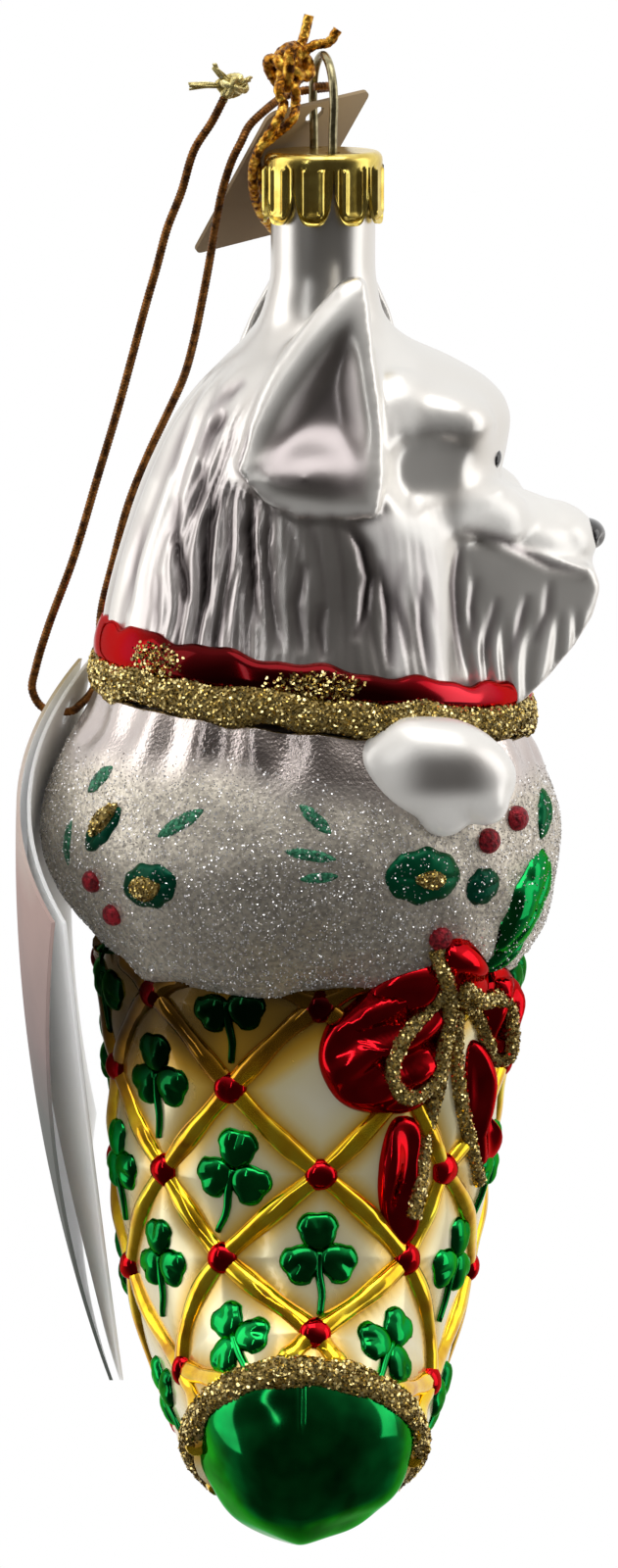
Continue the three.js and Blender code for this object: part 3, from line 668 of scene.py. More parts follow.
def rings_of(stations, turns):
    """Points round each station, in rows. turns is one list for all stations, or one row for each."""
    c = np.cos(turns)[..., None]
    s = np.sin(turns)[..., None]
    middle, face, back, near, far, pinch = (stations[:, i][:, None] for i in range(6))
    across = np.clip(c, 0, None) * face + np.clip(-c, 0, None) * back
    across = across * (1 - pinch[..., :1] * np.clip(s, 0, None) ** 2)
    return middle + across + np.clip(-s, 0, None) * near + np.clip(s, 0, None) * far


def skin(stations, first, last, rows, rays):
    """The glass between two places along its stations: points, normals, places and turns."""
    places = np.linspace(first, last, rows)
    turns = even_turns(rays)
    points = rings_of(between(stations, places), turns)
    return points, grid_normals(points), places, turns


def grid_normals(points):
    along = np.gradient(points, axis=0)
    around = np.roll(points, -1, axis=1) - np.roll(points, 1, axis=1)
    normals = unit(np.cross(along, around) + 1e-12)
    outward = points - points.mean(axis=1, keepdims=True)
    return normals if (normals * outward).sum() > 0 else -normals


def closed_rings(rings):
    """A closed skin over rings, with a fan at each end."""
    rows, rays = rings.shape[:2]
    points = np.vstack([rings.reshape(-1, 3), rings[0].mean(axis=0), rings[-1].mean(axis=0)])
    faces = grid_faces(rows, rays, wrap=True)
    first = rows * rays
    last = (rows - 1) * rays
    for i in range(rays):
        j = (i + 1) % rays
        faces.append((j, i, first))
        faces.append((last + i, last + j, first + 1))
    return facing_out(points, faces)


def signed_volume(points, faces):
    total = 0
    for face in faces:
        a = points[face[0]]
        for k in range(1, len(face) - 1):
            total += a.dot(np.cross(points[face[k]], points[face[k + 1]]))
    return total


def facing_out(points, faces):
    """Turns the faces of a closed form over if they face inwards."""
    if signed_volume(points, faces) < 0:
        faces = [tuple(reversed(f)) for f in faces]
    return points, faces


def ball(at, radii, lean=0, across=32, down=20):
    """A closed ellipsoid, leaning about Y in degrees."""
    turns = even_turns(across)
    falls = np.linspace(0.04, math.pi - 0.04, down)[:, None]
    x = radii[0] * np.sin(falls) * np.cos(turns)
    y = radii[1] * np.sin(falls) * np.sin(turns)
    z = radii[2] * np.cos(falls) * np.ones(across)
    c, s = math.cos(math.radians(lean)), math.sin(math.radians(lean))
    rings = np.stack([c * x + s * z, y, c * z - s * x], axis=2)
    return closed_rings(rings + np.asarray(at, dtype=float))


def slab(outline, inner, outer):
    """A closed plate with an outline of (x, z) places, between two sheets that give y."""
    near = [(x, outer(x, z), z) for x, z in outline]
    far = [(x, inner(x, z), z) for x, z in outline]
    count = len(outline)
    faces = [tuple(range(count)), tuple(range(2 * count - 1, count - 1, -1))]
    faces += [(i, i + count, (i + 1) % count + count, (i + 1) % count) for i in range(count)]
    return facing_out(np.array(near + far), faces)


def applied(piece):
    """The mesh of a piece with its modifiers worked in."""
    graph = bpy.context.evaluated_depsgraph_get()
    return bpy.data.meshes.new_from_object(piece.evaluated_get(graph))


def melted(name, parts, cell, passes):
    """Joins closed forms into one skin of even cells, and softens it. Stays in millimetres."""
    points, faces = joined(parts)
    mesh = bpy.data.meshes.new(name)
    mesh.from_pydata(points.tolist(), [], faces)
    holder = placed(name, mesh)
    remesh = holder.modifiers.new("remesh", "REMESH")
    remesh.mode = "VOXEL"
    remesh.voxel_size = cell
    soften = holder.modifiers.new("soften", "SMOOTH")
    soften.factor = 0.5
    soften.iterations = passes
    made = applied(holder)
    bpy.data.objects.remove(holder)
    bpy.data.meshes.remove(mesh)
    made.name = name
    return made


def places_of(mesh):
    flat = np.empty(len(mesh.vertices) * 3, dtype=np.float32)
    mesh.vertices.foreach_get("co", flat)
    return flat.reshape(-1, 3).astype(float)


def normals_of(mesh):
    flat = np.empty(len(mesh.vertices) * 3, dtype=np.float32)
    mesh.vertex_normals.foreach_get("vector", flat)
    return flat.reshape(-1, 3).astype(float)


def move_to(mesh, points):
    mesh.vertices.foreach_set("co", np.asarray(points, dtype=np.float32).ravel())
    mesh.update()


def softened(mesh, values, passes):
    """Spreads a value at each point evenly over its neighbours."""
    edges = np.empty(len(mesh.edges) * 2, dtype=np.int32)
    mesh.edges.foreach_get("vertices", edges)
    a, b = edges.reshape(-1, 2).T
    degree = np.bincount(edges, minlength=len(values)).astype(float)
    for _ in range(passes):
        total = np.bincount(a, values[b], len(values)) + np.bincount(b, values[a], len(values))
        values = 0.5 * values + 0.5 * total / degree
    return values


def relax(mesh, passes, share=1.0):
    """Evens out the small steps of a mesh, fully or by a share for each point."""
    points = places_of(mesh)
    smooth = np.stack([softened(mesh, points[:, axis], passes) for axis in range(3)], axis=1)
    move_to(mesh, points + np.asarray(share).reshape(-1, 1) * (smooth - points))


def piece_of(mesh, material):
    """An object in metres from a mesh that was worked on in millimetres."""
    move_to(mesh, places_of(mesh) * MM)
    mesh.materials.clear()
    mesh.materials.append(material)
    shade_smooth(mesh)
    return placed(mesh.name, mesh)


# The dog's head

# Outlines of its forms as (x, z) places
NEAR_EAR = (
    (3.4, -21.6), (1.6, -22.4), (-0.8, -25.2), (-2.7, -27.6), (-5.2, -30.8), (-8.0, -36.3), (-9.3, -41.0),
    (-6.3, -43.7), (-2.9, -45.5), (1.8, -45.6), (5.6, -45.5), (6.6, -41.0), (6.1, -35.6), (5.4, -30.5),
    (4.9, -25.6), (4.4, -22.2),
)
NEAR_EAR_SCOOP = (
    (2.9, -25.4), (0.6, -27.4), (-1.6, -30.0), (-4.0, -33.4), (-6.2, -37.2), (-7.9, -41.0), (-5.0, -43.2),
    (0.5, -44.3), (4.6, -44.2), (5.4, -40.9), (4.9, -35.4), (4.1, -29.7),
)
FAR_EAR = (
    (0.4, -17.4), (-3.0, -20.4), (-5.6, -24.0), (-7.6, -27.6), (-9.1, -31.1), (-9.8, -37.0), (-9.3, -41.5),
    (-5.0, -45.0), (1.8, -45.6), (6.3, -45.0), (7.9, -38.0), (8.2, -31.1), (7.2, -27.6), (5.6, -24.0),
    (3.6, -20.4),
)
FAR_EAR_SCOOP = (
    (0.6, -20.8), (-3.2, -26.0), (-6.0, -32.5), (-7.0, -39.5), (-3.6, -43.0), (1.0, -43.8), (4.8, -43.0),
    (6.0, -37.5), (5.6, -31.0), (3.6, -25.0),
)
EYE_SOCKET = (
    (8.1, -38.3), (12.0, -37.9), (15.9, -39.6), (15.4, -42.2), (12.4, -44.7), (8.6, -44.9), (6.9, -42.9),
    (6.9, -40.1),
)
BEARD = (
    (12.0, -50.0), (18.5, -49.6), (24.0, -51.4), (28.6, -53.0), (29.4, -55.2), (28.6, -58.2), (26.6, -61.4),
    (23.8, -64.4), (20.3, -67.4), (11.0, -66.4),
)
CHEEK_LOCK = (
    (4.0, -46.6), (6.5, -45.4), (9.9, -46.2), (12.1, -47.3), (12.8, -52.0), (12.6, -62.5), (11.0, -62.5),
    (9.9, -55.4), (8.8, -53.0), (8.4, -62.0), (7.2, -62.0), (6.9, -54.1), (5.4, -48.6),
)
MUZZLE = (
    (14.5, -44.0), (20.0, -43.5), (27.0, -47.0), (31.0, -49.5), (30.0, -53.4), (28.0, -53.4), (23.9, -52.0),
    (18.7, -49.2), (14.2, -47.4),
)
# The brow, the rims of the eye sockets and the top of the muzzle run smoothly into each other
SOFT_FACE = (
    (6.2, -31.5), (12.0, -30.5), (18.6, -34.0), (19.6, -40.0), (18.8, -43.5), (24.0, -46.0), (23.0, -49.0),
    (18.0, -50.2), (12.5, -49.6), (8.0, -47.5), (6.2, -44.0), (5.8, -36.0),
)
BEARD_PLATE = (
    (13.2, -48.4), (18.7, -50.4), (23.9, -53.0), (28.4, -54.4), (29.6, -56.0), (28.2, -60.0), (24.5, -64.5),
    (20.3, -67.4), (13.6, -66.4),
)
# Grooves in the coat, as (x, z) places from root to tip, with their depth
COAT = (
    (((-3.9, -32.7), (-6.3, -35.4), (-8.3, -38.8), (-9.3, -41.6)), 1.1),
    (((-10.3, -35.6), (-12.0, -37.9), (-13.0, -40.3)), 0.9),
    (((-15.9, -38.0), (-17.1, -40.5), (-18.0, -43.6)), 0.8),
    (((-9.4, -30.9), (-12.5, -32.9), (-14.7, -35.1)), 0.8),
    (((-12.4, -41.0), (-12.7, -43.7), (-13.9, -46.5)), 0.8),
    (((-15.1, -44.6), (-15.5, -48.0), (-15.0, -51.1), (-14.1, -55.2)), 1.0),
    (((-10.3, -43.5), (-12.0, -46.9), (-12.4, -50.6), (-12.1, -55.8)), 0.8),
    (((-6.9, -43.2), (-7.7, -47.3), (-7.3, -52.0), (-7.0, -56.8)), 0.9),
    (((-5.1, -44.4), (-5.9, -48.5), (-5.4, -53.9), (-4.5, -59.4)), 0.6),
    (((-1.9, -50.3), (-2.8, -54.4), (-2.2, -59.5)), 0.5),
    (((-0.2, -54.4), (-0.5, -57.2), (0.0, -60.2)), 0.5),
    (((2.1, -46.1), (4.0, -48.8), (4.8, -51.9), (4.2, -55.6), (3.2, -58.3)), 0.9),
    (((5.8, -50.0), (6.7, -55.1), (7.0, -61.3)), 0.8),
    (((8.0, -50.2), (7.6, -53.9), (8.7, -60.1)), 0.4),
    (((10.3, -52.0), (10.3, -57.1), (11.1, -61.9)), 0.6),
    (((14.2, -49.6), (13.8, -53.5), (14.1, -58.7), (14.4, -63.2)), 0.9),
    (((16.0, -53.0), (15.6, -56.4), (15.9, -60.9)), 0.5),
    (((18.3, -55.3), (17.6, -58.8), (17.0, -62.6)), 0.5),
    (((21.6, -55.3), (20.6, -58.8), (19.6, -62.6)), 0.5),
    (((23.9, -53.9), (23.6, -57.4), (22.3, -60.9)), 0.4),
    (((-19.0, -46.8), (-20.1, -52.0), (-20.5, -57.2)), 0.6),
    (((-17.2, -52.4), (-17.6, -55.9), (-17.3, -59.0)), 0.5),
    (((-13.8, -36.6), (-15.1, -39.4), (-16.0, -42.8)), 0.6),
    (((-8.0, -32.5), (-10.4, -34.2), (-12.1, -36.3)), 0.6),
    (((14.2, -47.8), (18.7, -49.4), (23.9, -52.4), (28.0, -53.6)), 0.45),
)


def line_distance(spots, line):
    """How far each (x, z) spot is from a line of places, and how far along it that is, from 0 to 1."""
    line = np.asarray(line, dtype=float)
    steps = np.diff(line, axis=0)
    lengths = np.linalg.norm(steps, axis=1)
    starts = np.concatenate([[0], np.cumsum(lengths)[:-1]])
    best = np.full(len(spots), 1e9)
    along = np.zeros(len(spots))
    for a, step, length, start in zip(line, steps, lengths, starts):
        t = np.clip((spots - a) @ step / length**2, 0, 1)
        away = np.linalg.norm(spots - a - t[:, None] * step, axis=1)
        closer = away < best
        best = np.where(closer, away, best)
        along = np.where(closer, start + t * length, along)
    return best, along / lengths.sum()


def depth_inside(spots, outline):
    """How deep each (x, z) spot lies inside an outline, or minus how far it lies outside."""
    outline = np.asarray(outline, dtype=float)
    away, _ = line_distance(spots, np.vstack([outline, outline[:1]]))
    inside = np.zeros(len(spots), dtype=bool)
    x, z = spots.T
    for (ax, az), (bx, bz) in zip(outline, np.roll(outline, -1, axis=0)):
        crosses = (az > z) != (bz > z)
        edge = ax + (z - az) / (bz - az + 1e-12) * (bx - ax)
        inside ^= crosses & (x < edge)
    return np.where(inside, away, -away)


def plate_reach(x):
    """How far the flat sides of the beard stand from the middle of the head."""
    return 12.2 - 0.46 * (x - 14.4)


# Lumps on both sides of the head, as place, half lengths and lean in degrees:
# the brow, the cheekbone, the temple, the lip and the root of the ear
HEAD_LUMPS = (
    ((12.6, 8.8, -36.6), (5.8, 5.2, 3.4), 10),
    ((12.6, 8.6, -46.8), (7.4, 5.4, 3.0), -20),
    ((7.2, 10.2, -37.4), (4.4, 4.8, 6.2), 10),
    ((16.8, 6.4, -47.4), (5.2, 5.0, 4.0), 0),
    ((-2.0, 14.2, -41.6), (8.0, 6.0, 4.2), 0),
)
# How fine the head is once its forms have melted together
HEAD_CELL = 0.36


def head_forms():
    """The closed forms that melt into the head: the skull, the ears, the muzzle and the beard."""
    head = between(HEAD, np.linspace(0, len(HEAD) - 1, 90))
    forms = [closed_rings(rings_of(np.concatenate([NECK_BORE, head]), even_turns(96)))]
    forms.append(slab(NEAR_EAR, lambda x, z: -8.6 + (z + 24) * -0.1, lambda x, z: -12.6 + (z + 24) * 0.36))
    forms.append(slab(FAR_EAR, lambda x, z: 9.2 + (z + 24) * 0.1, lambda x, z: 13.0 - (z + 24) * 0.33))
    forms.append(ball((19.2, 0, -50.0), (9.6, 8.2, 5.0), 14))
    forms.append(ball((24.6, 0, -50.2), (4.8, 5.6, 3.6), 20))
    forms.append(slab(BEARD, lambda x, z: plate_reach(x), lambda x, z: -plate_reach(x)))
    for side in (-1, 1):
        for (forward, aside, up), radii, lean in HEAD_LUMPS:
            forms.append(ball((forward, side * aside, up), radii, lean))
    return forms


def strand_share(points):
    """How far each point is from the nape, 0, to the cheek, 1. A strand of the coat keeps to one share."""
    drop = -points[:, 2]
    nape = np.interp(drop, (24, 30, 37, 44, 50, 58, 68), (-5, -8.5, -15, -18.8, -21, -23, -24))
    cheek = np.interp(drop, (24, 32, 44, 52, 68), (4, 6, 9, 11, 14))
    return (points[:, 0] - nape) / (cheek - nape)


def shape_face(mesh):
    """Presses in the ears and the eye sockets, and raises the locks on the cheeks."""
    points = places_of(mesh)
    spots = points[:, [0, 2]]
    soft = eased(depth_inside(spots, SOFT_FACE), -0.4, 1.4)
    in_ear = eased(depth_inside(spots, NEAR_EAR_SCOOP), 0.0, 1.4) * (np.abs(points[:, 1]) > 9)
    relax(mesh, 70, np.maximum(soft, in_ear * eased(-points[:, 2], 32, 36)))

    points = places_of(mesh)
    spots = points[:, [0, 2]]
    x, z = spots.T
    aside = np.abs(points[:, 1])
    side = np.abs(normals_of(mesh)[:, 1])
    near = points[:, 1] < 0
    outline = np.where(near, depth_inside(spots, NEAR_EAR), depth_inside(spots, FAR_EAR))
    scoop = np.where(near, depth_inside(spots, NEAR_EAR_SCOOP), depth_inside(spots, FAR_EAR_SCOOP))
    hollow = depth_inside(spots, EYE_SOCKET)
    # The ears' hollows, which run out towards their roots, and their rims
    on_ear = (aside > 9.2) & (side > 0.2)
    press = on_ear * 2.6 * (1 - 0.85 * eased(-z, 36, 42.5)) * eased(scoop, -0.4, 3.4)
    press += 0.6 * ((outline > 0) & (aside > 9.5)) * (1 - eased(outline, 0, 1.6))
    # The eye sockets, down to a flat wall
    wall = 13.2 - 0.34 * (x - 11.5) - 0.14 * (z + 41.4)
    press += np.clip(aside - wall, 0, 3.5) * (side > 0.15) * eased(hollow, -0.8, 0.8)
    # The raised locks of the cheeks, and the flat sides of the beard
    press -= 0.6 * (side > 0.2) * eased(depth_inside(spots, CHEEK_LOCK), -0.3, 1.2)
    over = np.clip(aside - plate_reach(x), 0, 3.5)
    press += over * (side > 0.15) * eased(depth_inside(spots, BEARD_PLATE), -0.5, 0.7)
    points[:, 1] -= np.sign(points[:, 1]) * softened(mesh, press, 16)
    move_to(mesh, points)
    relax(mesh, 3)
    return scoop, outline, hollow


def spot(x, z, at, reach):
    """1 at a place on the side of the head, fading over a reach across and up."""
    return np.exp(-(((x - at[0]) / reach[0]) ** 2) - ((z - at[1]) / reach[1]) ** 2)


def paint_face(points, normals, scoop, outline, hollow):
    """Where the pearl coat is milky white or carries painted highlights, and where painted shade darkens the
    ears' hollows.
    """
    spots = points[:, [0, 2]]
    x, z = spots.T
    side = eased(np.abs(normals[:, 1]), 0.15, 0.4)
    on_ear = side * eased(np.abs(points[:, 1]), 8.5, 9.8)
    ear_rim = on_ear * eased(outline, -0.4, 0.5) * (1 - eased(scoop, -0.6, 0.8))
    temple = side * eased(x, 5.4, 7.0) * (1 - eased(x, 9.0, 10.6)) * eased(z, -40, -36)
    milk_and_highlight = 0.9 * side * eased(depth_inside(spots, CHEEK_LOCK), -0.5, 0.5)
    milk_and_highlight += 0.75 * eased(depth_inside(spots, MUZZLE), -0.8, 1.2)
    # Painted highlight along the ears' rims
    milk_and_highlight += 0.35 * ear_rim
    milk_and_highlight += (0.36 - 0.014 * x) * side * eased(hollow, -0.4, 0.8)
    milk_and_highlight += 0.16 * side * eased(depth_inside(spots, BEARD_PLATE), -0.3, 0.8)
    milk_and_highlight += 0.5 * temple
    # Painted highlights on the brow and on the cheek below the eye
    milk_and_highlight += 0.45 * side * spot(x, z, (12.6, -35.6), (4.5, 2.0))
    milk_and_highlight += 0.35 * side * spot(x, z, (14.0, -46.6), (4.0, 1.4))
    # Painted shade in the ears' hollows, darker where the hollow faces up
    tipped = eased(normals[:, 2], 0.05, 0.3)
    painted_shade = on_ear * eased(scoop, 0.0, 2.0) * (0.4 + 0.26 * tipped)
    return milk_and_highlight, painted_shade


# Each of the next four functions gives what it adds to the height, the white and painted highlight, and the
# painted shade of every point


def grooves(points, side, near_ear):
    """The long grooves that part the coat, with painted shade along them."""
    height = np.zeros(len(points))
    painted_shade = np.zeros(len(points))
    for line, depth in COAT:
        away, along = line_distance(points[:, [0, 2]], line)
        taper = np.clip(np.sin(np.pi * along), 0, 1) ** 0.6
        weight = depth * taper * eased(side, 0.15, 0.5) * (1 - near_ear)
        height -= 0.55 * weight * np.exp(-((away / 0.55) ** 2))
        # Painted shade along the groove
        painted_shade += 0.95 * weight * np.exp(-((away / 0.5) ** 2))
    return height, 0, painted_shade


def strands(points, side, coat):
    """Strands and fine hair on the flat sides of the coat, deeper towards the nape, with painted highlights
    on their crests and painted shade in their valleys and over the coat.
    """
    share = strand_share(points)
    nape = 1 - eased(share, 0.32, 0.55)
    wave = np.cos(2 * math.pi * 13 * share + 2.4 * ripple(points, 12, 5))
    wave *= 0.55 + 0.45 * ripple(points, 13, 9)
    hair = np.cos(2 * math.pi * 33 * share + 3.0 * ripple(points, 9, 6))
    weight = coat * eased(side, 0.45, 0.8)
    height = weight * (0.19 * wave + 0.07 * hair) * (0.35 + 0.8 * nape)
    # Painted highlight on the crests, painted shade in the valleys and over the coat, more towards the nape
    milk_and_highlight = weight * 0.5 * eased(wave, 0.25, 0.95) * (0.12 + 0.55 * nape)
    painted_shade = weight * (0.16 + 0.22 * nape + (0.3 + 0.3 * nape) * eased(-wave, 0.2, 0.9))
    return height, milk_and_highlight, painted_shade


def locks(points, normals, side, coat):
    """Broad locks where the coat turns round to the nape, with painted highlights on their crests and
    painted shade between them.
    """
    turn = np.arctan2(points[:, 1], points[:, 0])
    wave = np.cos(turn * 26 + 1.6 * ripple(points, 16, 5))
    weight = (1 - eased(side, 0.45, 0.8)) * coat * (normals[:, 0] < 0.2)
    return 0.25 * wave * weight, 0.4 * np.clip(wave, 0, 1) * weight, 0.25 * np.clip(-wave, 0, 1) * weight


def whiskers(points, side):
    """The hair of the beard, with painted highlights on its crests, and the pale chin."""
    low = eased(-points[:, 2], 56.5, 61) * eased(points[:, 0], 12.5, 15) * eased(side, 0.45, 0.8)
    wave = np.cos(2 * math.pi * points[:, 0] / 2.3 + 1.2 * ripple(points, 9, 12))
    chin = eased(points[:, 0], 13, 16) * eased(-points[:, 2], 52, 55) * (1 - eased(side, 0.4, 0.8))
    return 0.22 * low * wave, 0.32 * low * eased(wave, 0.4, 0.95) + 0.3 * chin, 0


def dog_head(material):
    mesh = melted("dog_head", head_forms(), HEAD_CELL, 12)
    scoop, outline, hollow = shape_face(mesh)
    points = places_of(mesh)
    normals = normals_of(mesh)
    side = np.abs(normals[:, 1])
    near_ear = eased(np.maximum(scoop, outline - 0.6), -0.8, 0.2) * (np.abs(points[:, 1]) > 8.5)
    bare = 1 - np.maximum(near_ear, eased(hollow, -0.6, 0.4))
    coat = eased(-points[:, 2], 31, 38) * bare * (1 - eased(points[:, 0], 12, 14))
    coat *= 1 - 0.85 * eased(depth_inside(points[:, [0, 2]], SOFT_FACE), -1.0, 0.6)
    height = 0.05 * ripple(points, 8.0, 7)
    milk_and_highlight, painted_shade = paint_face(points, normals, scoop, outline, hollow)
    for added in (
        grooves(points, side, near_ear),
        strands(points, side, coat),
        locks(points, normals, side, coat),
        whiskers(points, side),
    ):
        height += added[0]
        milk_and_highlight += added[1]
        painted_shade += added[2]
    move_to(mesh, points + normals * height[:, None])
    # Painted shade and painted highlight, spread over neighbours and kept for the material; the painted
    # shade also dims the white
    painted_shade = np.clip(softened(mesh, painted_shade, 2), 0, 1)
    milk_and_highlight = np.clip(softened(mesh, milk_and_highlight, 3), 0, 1) * (1 - 0.8 * painted_shade)
    made = piece_of(mesh, material)
    store(made, "painted_shade", painted_shade)
    store(made, "milk_and_highlight", milk_and_highlight)
    return made


def nose_and_eyes(material):
    parts = [ball((28.2, 0, -50.2), (1.9, 2.5, 1.7), 10)]
    for side in (-1, 1):
        parts.append(ball((18.0, side * 5.2, -41.6), (0.75, 1.5, 1.25), 20))
    points, faces = joined(parts)
    wide = np.abs(points[:, 1]) < 3
    nostril = np.exp(-(((np.abs(points[:, 1]) - 1.2) / 0.55) ** 2) - ((points[:, 2] + 50.6) / 0.5) ** 2)
    points[:, 0] -= 0.6 * nostril * (wide & (points[:, 0] > 28.5))
    return mesh_object("nose_and_eyes", points, faces, material)


def paws(material):
    forms = []
    for side in (-1, 1):
        forms.append(ball((11.6, side * 22.0, -71.6), (8.6, 4.8, 5.6), 12))
        for x, z, r in ((12.4, -75.2, 3.2), (16.6, -74.4, 2.8)):
            forms.append(ball((x, side * 22.8, z), (r, 3.3, r)))
    mesh = melted("paws", forms, 0.3, 26)
    points = places_of(mesh)
    move_to(mesh, points + normals_of(mesh) * 0.12 * ripple(points, 5.0, 8)[:, None])
    made = piece_of(mesh, material)
    # A dark patch of painted reflection on the front of each paw, and the rest of the paw made whiter as
    # painted light
    patch = np.exp(-(((points[:, 0] - 13.0) / 4.6) ** 4) - ((points[:, 2] + 71.2) / 2.3) ** 4)
    store(made, "painted_shade", 0.12 * patch)
    store(made, "milk_and_highlight", 0.8 - 0.72 * patch)
    return made


# The collar, the cuff, the stocking and the toe


def band(name, stations, middle, half_width, thickness, sink, material, rough=0.0, rays=540, steps=9):
    """A raised band round the glass, whose place and half width are functions of the turn."""
    turns = even_turns(rays)
    half = half_width(turns)
    shift = middle(turns)
    across = np.linspace(-1, 1, steps)
    rise = thickness * np.sqrt(np.clip(1 - across**2, 0.0, 1))
    base = rings_of(between(stations, np.linspace(0, len(stations) - 1, 60)), turns)
    normals = grid_normals(base)
    over = np.empty((steps, rays, 3))
    under = np.empty((steps, rays, 3))
    for i in range(rays):
        lengths = lengths_along(base[:, i])
        at = lengths[-1] / 2 + shift[i] + across * half[i]
        spots = sampled(base[:, i], lengths, at)
        outs = unit(sampled(normals[:, i], lengths, at))
        over[:, i] = spots + outs * (rise - 0.12)[:, None]
        under[:, i] = spots - outs * sink
    bumps = ripple(over.reshape(-1, 3), 1.1, 3).reshape(steps, rays)
    over += rough * bumps[:, :, None] * unit(over - base.mean(axis=(0, 1)))
    points = np.concatenate([over, under[::-1]]).transpose(1, 0, 2).reshape(-1, 3)
    faces = [tuple(i % len(points) for i in f) for f in grid_faces(rays + 1, 2 * steps, wrap=True)]
    return mesh_object(name, *facing_out(points, faces), material)


# Glitter that strayed onto the red, as (across, down) in the picture, half its width and half its height
COLLAR_GLITTER = (((158, 673), 3.6, 1.7), ((322, 702), 6.0, 1.7))


def collar_half(turns):
    """The red collar is widest at the nape and narrow at the throat."""
    return 1.75 - 0.55 * np.cos(turns) + 0.16 * np.cos(13 * turns + 1) + 0.08 * np.cos(29 * turns)


def red_collar(material):
    stations = between(COLLAR, (-0.6, 0.4, 1.4))
    made = band(
        "collar",
        stations,
        middle=lambda t: 2.1 - collar_half(t),
        half_width=collar_half,
        thickness=0.62,
        sink=0.8,
        material=material,
    )
    tree = tree_of(made)
    points = places_of(made.data) / MM
    cover = np.zeros(len(points))
    for at, wide, tall in COLLAR_GLITTER:
        middle = seen(tree, *at)
        steps = (points - middle) / np.array([wide, 6.0, tall])
        cover = np.maximum(cover, 1 - eased(np.linalg.norm(steps, axis=1), 0.6, 1.0))
    store(made, "frost", cover)
    # Painted light: bright at the nape and throat ends, wine dark in painted shade along the side between
    # them
    along = (points[:, 0] - points[:, 0].min()) / np.ptp(points[:, 0])
    store(made, "lit", np.maximum(1 - eased(along, 0.06, 0.18), eased(along, 0.66, 0.84)))
    return made


def collar_gold(material):
    return band(
        "collar_glitter",
        between(COLLAR, (0.6, 1.9, 3.2)),
        middle=lambda t: 0.25 * np.cos(9 * t) + 0.2 * np.cos(17 * t + 2),
        half_width=lambda t: 1.95 + 0.2 * np.cos(7 * t + 1) + 0.16 * np.cos(23 * t),
        thickness=0.95,
        sink=0.6,
        material=material,
        rough=0.1,
        steps=11,
    )


def toe_half(turns):
    """The toe's band is narrower over the top of the foot."""
    return 1.85 + 0.2 * np.sin(turns) + 0.14 * np.cos(11 * turns)


def toe_shift(turns):
    return 0.3 + 0.4 * np.sin(turns)


def toe_gold(material):
    last = STOCKING[-1]
    dome = last.copy()
    dome[1:5] *= 0.86
    dome[0] += TOE_AXIS * TOE_REACH * 0.42
    stations = [between(STOCKING, [7.3])[0], last, dome]
    return band(
        "toe_glitter",
        stations,
        middle=toe_shift,
        half_width=toe_half,
        thickness=1.25,
        sink=0.6,
        material=material,
        rough=0.15,
        rays=360,
        steps=13,
    )


def cuff_shape():
    points, normals, places, turns = skin(CUFF, 0, len(CUFF) - 1, 120, 480)
    flat = points.reshape(-1, 3)
    turn = turns[None, :]
    place = places[:, None]
    lift = (0.35 * ripple(flat, 19, 21) + 0.16 * ripple(flat, 6, 22)).reshape(points.shape[:2])
    folds = np.cos(turn * 21 + 1.3 * np.sin(turn * 3)) * (1 - eased(place, 0.6, 2.4)) * 0.28
    hem = eased(place, 6.2, 7) * 0.5 * np.cos(turn * 11 + 2 * np.sin(2 * turn))
    return points + normals * (lift + folds + hem)[:, :, None], places, turns


def frost_at(places, turns):
    """How thickly the cuff is frosted: bare under the collar and full below."""
    edge = 1.15 + 0.22 * np.sin(turns * 4) + 0.12 * np.sin(turns * 11 + 1)
    return eased(places[:, None] - edge[None, :], 0, 1.1)


def cuff(material):
    points, places, turns = cuff_shape()
    flat, faces = closed_rings(points)
    made = mesh_object("cuff", flat, faces, material)
    frost = np.concatenate([frost_at(places, turns).ravel(), [0, 1]])
    store(made, "frost", frost)
    return made


# Beads of the lattice: a place along the stocking, and the turns of its beads in degrees
LATTICE = (
    (-0.6, (-162, -111, -59, -8, 44, 95, 146)),
    (0.8, (-187, -136, -85, -34, 18, 69, 121)),
    (2.15, (-162, -111, -59, -8, 44, 95, 146)),
    (3.53, (-187, -136, -84, -42, 14, 67, 120)),
    (5.07, (-165, -116, -52, -4, 45, 95, 145)),
    (7.1, (-198, -152, -84, -17, 23, 70, 116)),
    (8.6, (-162, -111, -59, -8, 44, 95, 146)),
)
# The bow covers these cells of the lattice, by row and by the bead on their left
BARE_CELLS = ((1, 2), (2, 1), (2, 2), (3, 2))
# A clover's stem as steps to the right and up from its middle
CLOVER_STEM = ((0, 0), (-0.15, -1.8), (-0.1, -3.4), (-0.5, -5.2))


def on_stocking(place, turn):
    """Points of the stocking at places along it and turns round it, in degrees."""
    place = np.atleast_1d(np.asarray(place, dtype=float))
    turn = np.radians(np.broadcast_to(turn, place.shape))
    return rings_of(between(STOCKING, np.clip(place, 0, LAST_PLACE)), turn[:, None])[:, 0]


def rib_runs():
    """Each rib as the places and turns from one bead to the next."""
    runs = []
    for row in range(len(LATTICE) - 1):
        place, turns = LATTICE[row]
        next_place, next_turns = LATTICE[row + 1]
        first_is_left = turns[0] < next_turns[0]
        for k in range(BEADS_ROUND):
            for step in (0, -1) if first_is_left else (0, 1):
                other = (k + step) % BEADS_ROUND
                turn = turns[k]
                target = next_turns[other]
                target += 360 * round((turn - target) / 360)
                t = np.linspace(0, 1, 16)
                places = place + (next_place - place) * t
                keep = (places > -0.1) & (places < LAST_PLACE + 0.05)
                runs.append((places[keep], (turn + (target - turn) * t)[keep]))
    return runs


